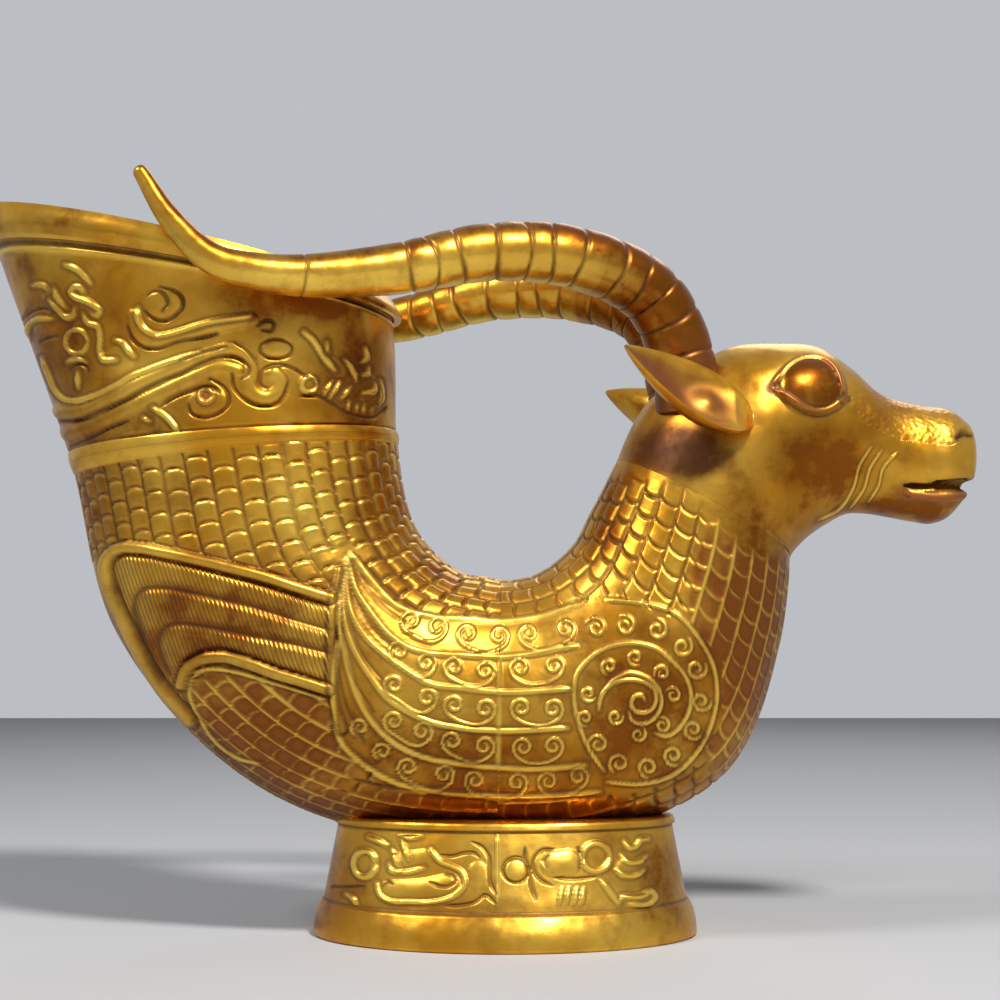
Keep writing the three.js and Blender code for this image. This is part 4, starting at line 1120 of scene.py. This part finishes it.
def horn(name, side):
    reach, lines = horn_line(side)
    root_at, end = reach[1], reach[-1]

    def shape(share, row):
        past = np.clip(row - (HORN_ROWS - TIP_ROWS), 0, None) / TIP_ROWS
        along = np.clip(row / (HORN_ROWS - TIP_ROWS), 0, 1) * end
        middle = np.stack([line(along) for line in lines], axis=1)
        tangent = np.stack([line(along + 2 * NEARBY) - line(along - 2 * NEARBY) for line in lines], axis=1)
        tangent /= np.linalg.norm(tangent, axis=1, keepdims=True)
        across = np.array([0.0, 1.0, 0.0]) - tangent * tangent[:, 1:2]
        across /= np.linalg.norm(across, axis=1, keepdims=True)
        over = np.cross(tangent, across)
        turned = 2 * math.pi * share
        part = np.clip((along - root_at) / (end - root_at), 0, 1)
        ringed = np.clip((RINGED_SHARE - part) / RING_FADE, 0, 1) * (part > 0)
        step = part / RINGED_SHARE * HORN_RINGS + RING_WAVER * np.sin(2 * turned + part * RING_WAVES)
        step = step + RING_UNEVEN * np.sin(step * RING_BEAT)
        groove = hill(np.abs(step - np.rint(step)), RING_SHARE) * ringed
        crack = hill(part - CRACK_SHARE - CRACK_WAVER * np.sin(turned), CRACK_WIDE)
        radius = horn_radius(part) - RING_SWELL * np.cos(2 * math.pi * step) * ringed
        radius = (radius - RING_GROOVE * groove - CRACK_DEEP * crack) * np.sqrt(np.clip(1 - past**2, 0, 1))
        radius = np.where(row == 0, 0, radius)
        out = across * np.cos(turned)[:, None] + over * np.sin(turned)[:, None]
        spot = middle + out * radius[:, None]
        spot += tangent * (past * HORN_TIP_RADIUS)[:, None]
        return spot, horn_marks(part, turned, groove, crack)

    return rolled_sheet(name, HORN_COLUMNS, HORN_ROWS, shape)


left_horn = horn("left_horn_ringed", 1)
right_horn = horn("right_horn_ringed", -1)

# %% Ears
EAR_LENGTH, EAR_BREADTH, EAR_DEPTH, EAR_WALL = 37.0, 17.0, 7.0, 2.0
EAR_ROOT_ALONG, EAR_ROOT_ROUND = 16.9, math.radians(72)
EAR_FROM, EAR_TO = 0.05, 0.985  # the part of a half wave that shapes the leaf
EAR_LEAN, EAR_FULLNESS = 0.6, 0.8
EAR_STEM, EAR_HOLLOW_FULLNESS, EAR_CLOSED, EAR_LIP = 0.08, 0.75, 0.92, 0.45
EAR_COLUMNS, EAR_ROWS, ROOT_ROWS, EAR_SUNK, EAR_CLEAR = 72, 100, 14, 2.6, 3.4
EAR_LINE, EAR_FACE, EAR_BEND = (-27.5, 19.0, 15.0), (0.3, 0.8, 0.55), 1.5
EAR_LIP_ROUND = 0.3
BULB_SHARE, BULB_WIDE, BULB_BROAD, BULB_HIGH = 0.27, 0.09, 0.5, 2.0
EAR_ROUGE, EAR_GRIME, EAR_BROWN, EAR_MARKS_RISE, BULB_CLEAN = 0.95, 0.4, 0.4, 6, 0.6


def ear(name, side):
    root = skull.place(np.full(1, EAR_ROOT_ALONG), np.full(1, side * EAR_ROOT_ROUND))[0]
    line, face = np.array(EAR_LINE) * (1, side, 1), np.array(EAR_FACE) * (1, side, 1)
    line /= np.linalg.norm(line)
    face -= line * (face @ line)
    face /= np.linalg.norm(face)
    across = np.cross(line, face)

    def shape(share, row):
        rounded = np.clip(1 - row / ROOT_ROWS, 0, 1) * math.pi / 2
        part = np.clip((row - ROOT_ROWS) / (EAR_ROWS - 1 - ROOT_ROWS), 0, 1)
        leant = (EAR_FROM + (EAR_TO - EAR_FROM) * part) ** EAR_LEAN
        swell = np.sin(math.pi * leant) ** EAR_FULLNESS
        hollow_part = np.clip((part - EAR_STEM) / (1 - EAR_STEM), 0, 1)
        opened = np.sin(math.pi * hollow_part) ** EAR_HOLLOW_FULLNESS
        wide, deep = EAR_BREADTH / 2 * swell, EAR_DEPTH * swell
        thin = np.minimum(EAR_WALL, deep / 2)
        thick = deep * EAR_CLOSED + (thin - deep * EAR_CLOSED) * opened
        back = share < 0.5
        turn = np.where(back, 2 * share, 2 - 2 * share) * math.pi
        half = np.where(back, wide, wide - thick * EAR_LIP * np.abs(np.sin(turn)) ** EAR_LIP_ROUND)
        bulb = hill(part - BULB_SHARE, BULB_WIDE) * hill(np.cos(turn), BULB_BROAD)
        depth = np.where(back, deep, deep - thick - BULB_HIGH * bulb)
        length = EAR_LENGTH * part - EAR_SUNK * np.sin(rounded)
        closed = np.where((row == 0) | (row == EAR_ROWS), 0.0, np.cos(rounded))
        spot = root + line * length[:, None] + face * (EAR_CLEAR * (1 - part) ** EAR_BEND)[:, None]
        spot += across * (half * np.cos(turn) * closed)[:, None]
        spot -= face * (depth * np.sin(turn) * closed)[:, None]
        inner = np.where(back, 0.0, 1.0) * np.sin(turn) ** 2 * np.clip(part * EAR_MARKS_RISE, 0, 1)
        inner *= 1 - BULB_CLEAN * bulb
        return spot, {"rouge": EAR_ROUGE * inner, "grime_and_shade": EAR_GRIME * inner, "brown": EAR_BROWN * inner}

    return rolled_sheet(name, EAR_COLUMNS, EAR_ROWS, shape)


left_ear = ear("left_ear_leaf", 1)
right_ear = ear("right_ear_leaf", -1)

# %% [markdown]
# The foot is an oval drum that narrows upwards, open below. A thin moulding runs round its top and a rounded
# band round its base, and worn scrolls lie between them. Its top plate ends where the belly sinks into it, so
# that edge follows the line in which the belly crosses the plate.

# %% Lines of the foot
FOOT_RINGS = [((365, 864), 11, 1.2), ((596, 857), 14, 1.0)]
FOOT_BOSS = ((516, 870), 13, 0.95)
FOOT_BODIES = [  # line, half its breadth, height
    ([(390, 891), (420, 890), (450, 884)], 11.0, 0.5),
    ([(364, 864), (366, 865)], 9.0, 0.4),
    ([(516, 869), (516, 871)], 12.0, 0.65),
    ([(554, 864), (568, 862)], 13.0, 0.6),
    ([(396, 862), (424, 858)], 9.0, 0.35),
    ([(624, 900), (649, 898)], 5.0, 0.4),
    ([(626, 868), (638, 868)], 10.0, 0.35),
    ([(478, 870), (480, 884)], 9.0, 0.3),
]
FOOT_LINES = [
    [(369, 837), (377, 840), (387, 845)],
    [(392, 850), (397, 859), (400, 869)],
    [(389, 864), (391, 870), (405, 872), (424, 868)],
    [(402, 841), (406, 851), (410, 858)],
    [(400, 836), (410, 838), (421, 836)],
    [(377, 883), (380, 894), (388, 900), (410, 902), (430, 902), (446, 899), (458, 893), (465, 882),
     (462, 872), (452, 866), (440, 861), (431, 849)],
    [(346, 894), (354, 899), (357, 907)],
    [(601, 880), (610, 892), (618, 903)],
    [(624, 841), (630, 848), (636, 846), (640, 840), (648, 839)],
    [(621, 854), (626, 861), (636, 862), (646, 856)],
    [(616, 869), (622, 875), (634, 876), (643, 870)],
    [(622, 896), (640, 896), (651, 891), (655, 897), (649, 904), (627, 904)],
]
FOOT_COMB = [562, 569, 577, 584]
COMB_FROM, COMB_TO, COMB_SLANT = 887, 905, 3
FOOT_CUTS = [
    [(332, 887), (348, 887), (364, 886)],
    [(446, 874), (453, 876), (455, 881), (449, 886), (440, 886), (431, 882)],
    [(384, 886), (387, 881), (393, 884)],
    [(440, 855), (452, 856), (464, 853), (474, 853), (480, 858)],
    [(472, 842), (482, 847), (489, 857), (490, 870), (491, 884), (497, 895)],
    [(445, 906), (462, 905), (475, 902), (485, 895), (496, 904)],
    [(525, 848), (525, 858), (529, 871), (531, 885), (536, 900)],
    [(553, 849), (541, 851), (534, 860), (534, 871), (541, 880), (552, 886)],
    [(548, 855), (544, 861), (546, 868)],
    [(578, 847), (581, 856), (579, 868)],
    [(555, 878), (575, 879), (596, 877)],
]
MOULD_LINE = [(497, 834), (497, 908)]
FOOT_PATINA = [
    ((330, 880), (35, 50), 0.9), ((660, 880), (45, 50), 1.0), ((430, 910), (120, 16), 0.5),
    ((560, 915), (90, 12), 0.5),
]
print("Lines and cuts on the foot:", len(FOOT_LINES) + len(FOOT_CUTS))

# %% Carve the foot
FOOT_RING_STROKE, FOOT_STROKE, COMB_STROKE = (3.2, 0.6), (3.0, 0.6), (2.4, 0.5)
FOOT_CUT_STROKE, BOSS_STROKE, MOULD_STROKE = (2.3, 0.5), (2.2, 0.5), (1.6, 0.3)


def carve_foot(places):
    relief = Relief(places)
    for points, half, height in FOOT_BODIES:
        relief.bar(through(points), half, height)
    for shape in FOOT_RINGS:
        relief.raised(ring(*shape), *FOOT_RING_STROKE)
    for line in FOOT_LINES:
        relief.raised(through(line), *FOOT_STROKE)
    for x in FOOT_COMB:
        relief.raised(through([(x, COMB_FROM), (x - COMB_SLANT, COMB_TO)]), *COMB_STROKE)
    for line in FOOT_CUTS:
        relief.cut(through(line), *FOOT_CUT_STROKE)
    relief.cut(ring(*FOOT_BOSS), *BOSS_STROKE)
    relief.raised(through(MOULD_LINE), *MOULD_STROKE)
    relief.patina_and_shade(FOOT_PATINA)
    return relief


# %% Where the belly crosses the foot
FOOT_LENGTH, FOOT_BREADTH, FOOT_TOP_LENGTH, FOOT_TOP_BREADTH = 94.0, 72.0, 83.0, 54.0
SADDLE_STOPS = 1200


def saddle_share(angle, z):
    """How far out the belly crosses a level of the foot, as a share of the foot's top oval."""
    t = np.linspace(FILLET, NECK, SADDLE_STOPS)
    turn = vessel.turn(t)
    cos = (z - vessel.z(t)) / (np.sin(turn) * vessel.half(t))
    t, cos = t[np.abs(cos) < 1], cos[np.abs(cos) < 1]
    low = cos < 0
    spot = vessel.place(t[low], np.arccos(cos[low]), FIT)
    x = (spot[:, 0] - FOOT_X) / (FOOT_TOP_LENGTH / 2)
    y = spot[:, 1] / (FOOT_TOP_BREADTH / 2)
    order = np.argsort(np.arctan2(y, x))
    return np.interp(folded(angle), np.arctan2(y, x)[order], np.hypot(x, y)[order])


crossing = saddle_share(np.zeros(1), FOOT_HEIGHT)[0]
print("The belly crosses the foot's top at", round(100 * crossing), "% of its half length")

# %% Profile of the foot
FOOT_WALL, FOOT_PLATE, FOOT_STEP = 3.0, 3.5, 0.8
FOOT_BASE_BAND, FOOT_BASE_BULGE, FOOT_TOP_BAND = 8.0, 0.5, 2.0
BASE_EASE, TOP_EASE_DOWN, TOP_EASE_IN, STEP_EASE = 0.5, 0.25, 0.2, 0.1
UNDER_MOULDING, CARVED_FROM = 0.4, 0.5  # below the top moulding
PLATE_ROWS = 3  # under the plate, up its edge, and back over its top
top_band = FOOT_HEIGHT - FOOT_TOP_BAND
FOOT_ROWS = [  # height, outset, carved, rows to the next
    (FOOT_HEIGHT, -FOOT_STEP, 0, 2),
    (FOOT_HEIGHT - TOP_EASE_DOWN, -TOP_EASE_IN, 0, 2),
    (FOOT_HEIGHT - FOOT_STEP, 0, 0, 4),
    (top_band + STEP_EASE, 0, 0, 3),
    (top_band - UNDER_MOULDING, -FOOT_STEP, 0, 1),
    (top_band - CARVED_FROM, -FOOT_STEP, 1, 90),
    (FOOT_BASE_BAND + FOOT_STEP + STEP_EASE, -FOOT_STEP, 1, 1),
    (FOOT_BASE_BAND + FOOT_STEP, -FOOT_STEP, 0, 3),
    (FOOT_BASE_BAND, 0, 0, 18),
    (BASE_EASE, 0, 0, 3),
    (0, -BASE_EASE, 0, 3),
    (0, -FOOT_WALL - FOOT_STEP, 0, 10),
    (FOOT_HEIGHT - FOOT_PLATE, -FOOT_WALL - FOOT_STEP, 0, 0),
]
INSIDE_ROWS = FOOT_ROWS[-2][3]
foot_table = [FOOT_ROWS[0][:3]]
for (z, outset, carved, rows), (next_z, next_outset, next_carved, _) in zip(FOOT_ROWS[:-1], FOOT_ROWS[1:]):
    for k in range(1, rows + 1):
        share = k / rows
        row_z = z + (next_z - z) * share
        foot_table.append((row_z, outset + (next_outset - outset) * share, carved * next_carved))
foot_table = np.array(foot_table)
on_band = (foot_table[:, 0] < FOOT_BASE_BAND) & (foot_table[:, 1] > -FOOT_STEP)
foot_table[:, 1] += on_band * FOOT_BASE_BULGE * np.sin(math.pi * foot_table[:, 0] / FOOT_BASE_BAND)
print("The foot's profile has", len(foot_table), "rows")

# %% Foot
STEP_DIRT, STEP_DIRT_WIDE, STEP_DIRT_DOWN = 0.85, 0.5, 0.3


def shape_foot(share, row):
    """Rows of the profile round the oval, then those of the plate, whose edge follows the belly."""
    angle = round_angle(share)
    z, outset, carved = foot_table[np.clip(row, 0, len(foot_table) - 1)].T
    level = z / FOOT_HEIGHT
    half_long = (FOOT_LENGTH + (FOOT_TOP_LENGTH - FOOT_LENGTH) * level) / 2 + outset
    half_broad = (FOOT_BREADTH + (FOOT_TOP_BREADTH - FOOT_BREADTH) * level) / 2 + outset

    def oval(long, broad, height):
        flat = np.stack([FOOT_X + long * np.cos(angle), broad * np.sin(angle)], axis=1)
        return np.concatenate([flat, np.reshape(height, (-1, 1)) * np.ones((len(angle), 1))], axis=1)

    relief = carve_foot(oval(half_long, half_broad, z))
    lift = relief.height() * carved
    places = oval(half_long + lift, half_broad + lift, z)
    plate = row - (len(foot_table) - 1)
    for number, height in ((1, FOOT_HEIGHT - FOOT_PLATE), (2, FOOT_HEIGHT)):
        reach = saddle_share(angle, height)
        edge = oval(reach * FOOT_TOP_LENGTH / 2, reach * FOOT_TOP_BREADTH / 2, height)
        places[plate == number] = edge[plate == number]
    top = oval(FOOT_TOP_LENGTH / 2 - FOOT_STEP, FOOT_TOP_BREADTH / 2 - FOOT_STEP, FOOT_HEIGHT)
    places[plate == PLATE_ROWS] = top[plate == PLATE_ROWS]
    over_base = hill(z - FOOT_BASE_BAND - FOOT_STEP, STEP_DIRT_WIDE)
    under_top = hill(z - top_band + STEP_DIRT_DOWN, STEP_DIRT_WIDE)
    seen = row < len(foot_table) - 1 - INSIDE_ROWS
    relief.marks["grime_and_shade"] *= carved
    relief.mark("grime_and_shade", STEP_DIRT * np.maximum(over_base, under_top) * seen)
    return places, relief.marks


foot = rolled_sheet("foot_relief", FOOT_ROUND, len(foot_table) - 1 + PLATE_ROWS, shape_foot)

# %% [markdown]
# Gilding is a thin coat of gold over bronze. It is bright where hands polish it, and dull, brown or reddish
# where dirt and the bronze come through. The brown and dark marks also carry painted shade. One finish covers
# all the pieces, with its own shares for each.
# Shader maths is easier to read as arithmetic, so a small class wraps a socket and adds a Math node for each
# operator.

# %% Shader arithmetic
class Value:
    """A socket of a node tree that can be reckoned with."""

    def __init__(self, tree, socket):
        self.tree, self.socket = tree, socket

    def reckon(self, operation, first, second):
        return self.tree.node("ShaderNodeMath", {"operation": operation}, Value=first, Value_001=second)

    def __add__(self, other):
        return self.reckon("ADD", self, other)

    def __sub__(self, other):
        return self.reckon("SUBTRACT", self, other)

    def __rsub__(self, other):
        return self.reckon("SUBTRACT", other, self)

    def __mul__(self, other):
        return self.reckon("MULTIPLY", self, other)

    __radd__ = __add__
    __rmul__ = __mul__

    def either(self, other):
        return self.reckon("MAXIMUM", self, other)


class Tree:
    """The nodes of a material or a world. node() adds one and returns its first output, or the one that is
    asked for."""

    def __init__(self, owner):
        self.owner = owner
        owner.use_nodes = True
        self.nodes, self.links = owner.node_tree.nodes, owner.node_tree.links
        self.nodes.clear()

    def node(self, kind, settings=None, output=0, **values):
        node = self.nodes.new(kind)
        for name, setting in (settings or {}).items():
            setattr(node, name, setting)
        sockets = {socket.identifier: socket for socket in node.inputs}
        for name, value in values.items():
            socket = sockets.get(name) or node.inputs[name.replace("_", " ")]
            if isinstance(value, Value):
                self.links.new(value.socket, socket)
            else:
                socket.default_value = value
        return Value(self, node.outputs[output]) if len(node.outputs) else node

    def mix(self, share, first, second):
        values = {"Factor_Float": share, "A_Color": first, "B_Color": second}
        return self.node("ShaderNodeMix", {"data_type": "RGBA"}, 2, **values)

    def noise(self, places, scale, detail, roughness):
        sizes = {"Scale": scale, "Detail": detail, "Roughness": roughness}
        return self.node("ShaderNodeTexNoise", Vector=places, **sizes)

    def limited(self, value):
        return self.node("ShaderNodeClamp", Value=value)

    def mark(self, name):
        return self.node("ShaderNodeAttribute", {"attribute_name": name}, "Fac")


# %% Colours and weights of the gilt finish
BRIGHT_GOLD = (0.97, 0.63, 0.095, 1)
DEEP_GOLD = (0.64, 0.29, 0.02, 1)
BROWN_GILT = (0.26, 0.078, 0.007, 1)
# the dark of dirt in hollows, and of the painted shadow under the ear
DARK_GRIME_AND_SHADE = (0.035, 0.014, 0.004, 1)
RED_BRONZE = (0.4, 0.13, 0.036, 1)
PATCHES, SPOTS = (38, 4, 0.55), (110, 5, 0.65)  # scale, detail and roughness of a noise
GRAIN, SWELLS = (420, 3, 0.55), (70, 2, 0.55)
HATCH_RATE, HATCH_X, HATCH_Z = 6400, 0.94, 0.33  # radians in a metre, along a slant
PEBBLES_PER_METRE = 800
PATCH_FROM, PATCH_STEEP, POLISH_GOLD = 0.38, 2.4, 0.7
STAIN_FROM, STAIN_STEEP, STAIN_BROWN, STAIN_ROUGE = 0.53, 5.0, 0.6, 0.3
PATINA_STEEP, PATINA_FROM = 1.9, 0.1
DIRT_GRAIN, DIRT_EVEN, HATCH_DIRT, PEBBLE_DIRT, DIRT_COVER = 0.5, 0.62, -0.6, 0.5, 0.92
GRAIN_HIGH, HATCH_HIGH, PEBBLE_DEEP = 0.5, 0.9, 2.2
SWELL_STRENGTH, SWELL_DISTANCE, GRAIN_STRENGTH, GRAIN_DISTANCE = 0.8, 0.0012, 0.4, 0.00022
DIRT_METAL, DIRT_ROUGH, GRAIN_ROUGH, ROUGE_ROUGH, GRAIN_MEAN = 0.5, 0.25, 0.16, 0.1, 0.08
print("Gold ranges from", DEEP_GOLD[:3], "to", BRIGHT_GOLD[:3])


# %% The gilt finish
def gilt(name, worn, rough):
    """worn is the share of stains, and rough the roughness of clean metal."""
    tree = Tree(bpy.data.materials.new(name))
    places = tree.node("ShaderNodeTexCoord", output="Object")
    noises = [tree.noise(places, *sizes) for sizes in (PATCHES, SPOTS, GRAIN, SWELLS)]
    patches, spots, grain, swells = noises
    grime_and_shade, rouge = tree.mark("grime_and_shade"), tree.mark("rouge")
    x, z = (tree.node("ShaderNodeSeparateXYZ", output=axis, Vector=places) for axis in "XZ")
    slant = (x * HATCH_X + z * HATCH_Z) * HATCH_RATE
    hatch = tree.node("ShaderNodeMath", {"operation": "SINE"}, Value=slant) * tree.mark("hatch")
    pebbles = {"Vector": places, "Scale": PEBBLES_PER_METRE}
    pebbled = tree.node("ShaderNodeTexVoronoi", {"feature": "SMOOTH_F1"}, **pebbles) * tree.mark("pebble")
    stain = tree.limited((spots - STAIN_FROM) * STAIN_STEEP) * worn
    # The brown mark is patina and painted shade in one.
    patina_and_shade = tree.limited(tree.mark("brown") * (spots * PATINA_STEEP - PATINA_FROM) + stain * STAIN_BROWN)
    in_hatch = tree.limited(hatch * HATCH_DIRT)
    # the dark mark is dirt in hollows, and also the painted shadow under the ear
    dirt_and_shade = tree.limited(grime_and_shade * (grain * DIRT_GRAIN + DIRT_EVEN) + in_hatch + pebbled * PEBBLE_DIRT)
    clean = tree.limited((patches - PATCH_FROM) * PATCH_STEEP + tree.mark("polish") * POLISH_GOLD)
    gold = tree.mix(clean, DEEP_GOLD, BRIGHT_GOLD)
    browned = tree.mix(patina_and_shade, gold, BROWN_GILT)
    reddened = tree.mix(tree.limited(rouge + stain * STAIN_ROUGE), browned, RED_BRONZE)
    height = grain * GRAIN_HIGH + hatch * HATCH_HIGH - pebbled * PEBBLE_DEEP
    uneven = {"Strength": SWELL_STRENGTH, "Distance": SWELL_DISTANCE, "Height": swells}
    fine = {"Strength": GRAIN_STRENGTH, "Distance": GRAIN_DISTANCE, "Height": height}
    roughness = dirt_and_shade * DIRT_ROUGH + grain * GRAIN_ROUGH + rouge * ROUGE_ROUGH + rough - GRAIN_MEAN
    gloss = tree.node(
        "ShaderNodeBsdfPrincipled",
        Base_Color=tree.mix(dirt_and_shade * DIRT_COVER, reddened, DARK_GRIME_AND_SHADE),
        Metallic=1.0 - dirt_and_shade * DIRT_METAL,
        Roughness=tree.limited(roughness),
        Normal=tree.node("ShaderNodeBump", Normal=tree.node("ShaderNodeBump", **uneven), **fine),
    )
    tree.node("ShaderNodeOutputMaterial", Surface=gloss)
    return tree.owner


# %% Dress the pieces
DRESS = [  # piece, the node it replaces, its slot, and its finish with wear and roughness
    (mouth_rim, "mouth_rim", "rim_gilt", gilt("worn gilt of the rim", 0.75, 0.3)),
    (cup_bell, "cup_bell", "body_gilt", gilt("chased gilt of the bell", 0.45, 0.31)),
    (rear_belly, "rear_belly", "body_gilt", gilt("chased gilt of the belly", 0.4, 0.31)),
    (front_body, "front_body", "body_gilt", gilt("chased gilt of the breast", 0.4, 0.31)),
    (head, "head", "head_gilt", gilt("polished gilt of the head", 0.45, 0.3)),
    (left_horn, "left_horn", "horn_gilt", gilt("gilt of the left horn", 0.6, 0.3)),
    (right_horn, "right_horn", "horn_gilt", gilt("gilt of the right horn", 0.6, 0.3)),
    (left_ear, "left_ear", "ear_gilt", gilt("gilt of the left ear", 0.5, 0.31)),
    (right_ear, "right_ear", "ear_gilt", gilt("gilt of the right ear", 0.5, 0.31)),
    (foot, "foot", "foot_gilt", gilt("worn gilt of the foot", 0.5, 0.3)),
]
for piece, node, slot, finish in DRESS:
    piece.data.materials.append(finish)
    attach(piece, "root")
    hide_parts(node)
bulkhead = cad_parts["neck_bulkhead"]
bulkhead.data.materials.clear()
bulkhead.data.materials.append(gilt("brown bronze of the bulkhead", 1.0, 0.45))
print(len(DRESS), "pieces are dressed")

# %% [markdown]
# The studio is plain: a pale floor, a pale backdrop that only the camera and reflections see, a soft lamp
# from the upper right in front, and two weaker ones that keep the other sides readable.

# %% Floor
FLOOR_SIZE, FLOOR_ROUGH = 3.0, 0.9
PALE = (0.5, 0.515, 0.545, 1)
floor_mesh = bmesh.new()
bmesh.ops.create_grid(floor_mesh, x_segments=1, y_segments=1, size=FLOOR_SIZE / 2)
floor_data = bpy.data.meshes.new("floor")
floor_mesh.to_mesh(floor_data)
floor_mesh.free()
floor = bpy.data.objects.new("floor", floor_data)
bpy.context.scene.collection.objects.link(floor)
floor_tree = Tree(bpy.data.materials.new("pale floor"))
matte = floor_tree.node("ShaderNodeBsdfPrincipled", Base_Color=PALE, Roughness=FLOOR_ROUGH)
floor_tree.node("ShaderNodeOutputMaterial", Surface=matte)
floor_data.materials.append(floor_tree.owner)
print("The floor is", FLOOR_SIZE, "m wide")

# %% Lamps
LIT_MIDDLE = np.array([0.0, 0.0, 0.09])
LAMPS = [  # name, place, size, power, colour
    ("key lamp", (0.38, -0.72, 1.02), 0.2, 16.0, (1.0, 0.96, 0.9)),
    ("side lamp", (-0.62, -0.42, 0.85), 0.3, 4.5, (1, 1, 1)),
    ("back lamp", (0.3, 0.9, 0.9), 0.6, 2.0, (1, 1, 1)),
]


def soft_lamp(name, place, size, power, colour):
    """A round lamp that looks at the middle of the cup."""
    data = bpy.data.lights.new(name, "AREA")
    data.shape, data.size, data.energy, data.color = "DISK", size, power, colour
    lamp = bpy.data.objects.new(name, data)
    lamp.location = place
    aim = LIT_MIDDLE - np.array(place)
    tilt = math.atan2(math.hypot(aim[0], aim[1]), -aim[2])
    lamp.rotation_euler = (tilt, 0, math.atan2(aim[1], aim[0]) - math.pi / 2)
    bpy.context.scene.collection.objects.link(lamp)


for lamp in LAMPS:
    soft_lamp(*lamp)
print("Lamps:", len(LAMPS))

# %% Backdrop
SKY_COLOUR, SKY_STRENGTH = (0.9, 0.92, 0.95, 1), 0.12
SEEN_RAYS = ("Is Camera Ray", "Is Glossy Ray", "Is Transmission Ray")
sky = Tree(bpy.data.worlds.new("studio"))
bpy.context.scene.world = sky.owner
straight, mirrored, passed = (sky.node("ShaderNodeLightPath", output=ray) for ray in SEEN_RAYS)
light = sky.node("ShaderNodeBackground", Color=SKY_COLOUR, Strength=SKY_STRENGTH)
backdrop = sky.node("ShaderNodeBackground", Color=PALE, Strength=1.0)
seen = straight.either(mirrored).either(passed)
both = sky.node("ShaderNodeMixShader", Fac=seen, Shader=light, Shader_001=backdrop)
sky.node("ShaderNodeOutputWorld", Surface=both)
bpy.context.scene.view_settings.view_transform = "Standard"
print("The sky lights the cup at", SKY_STRENGTH)
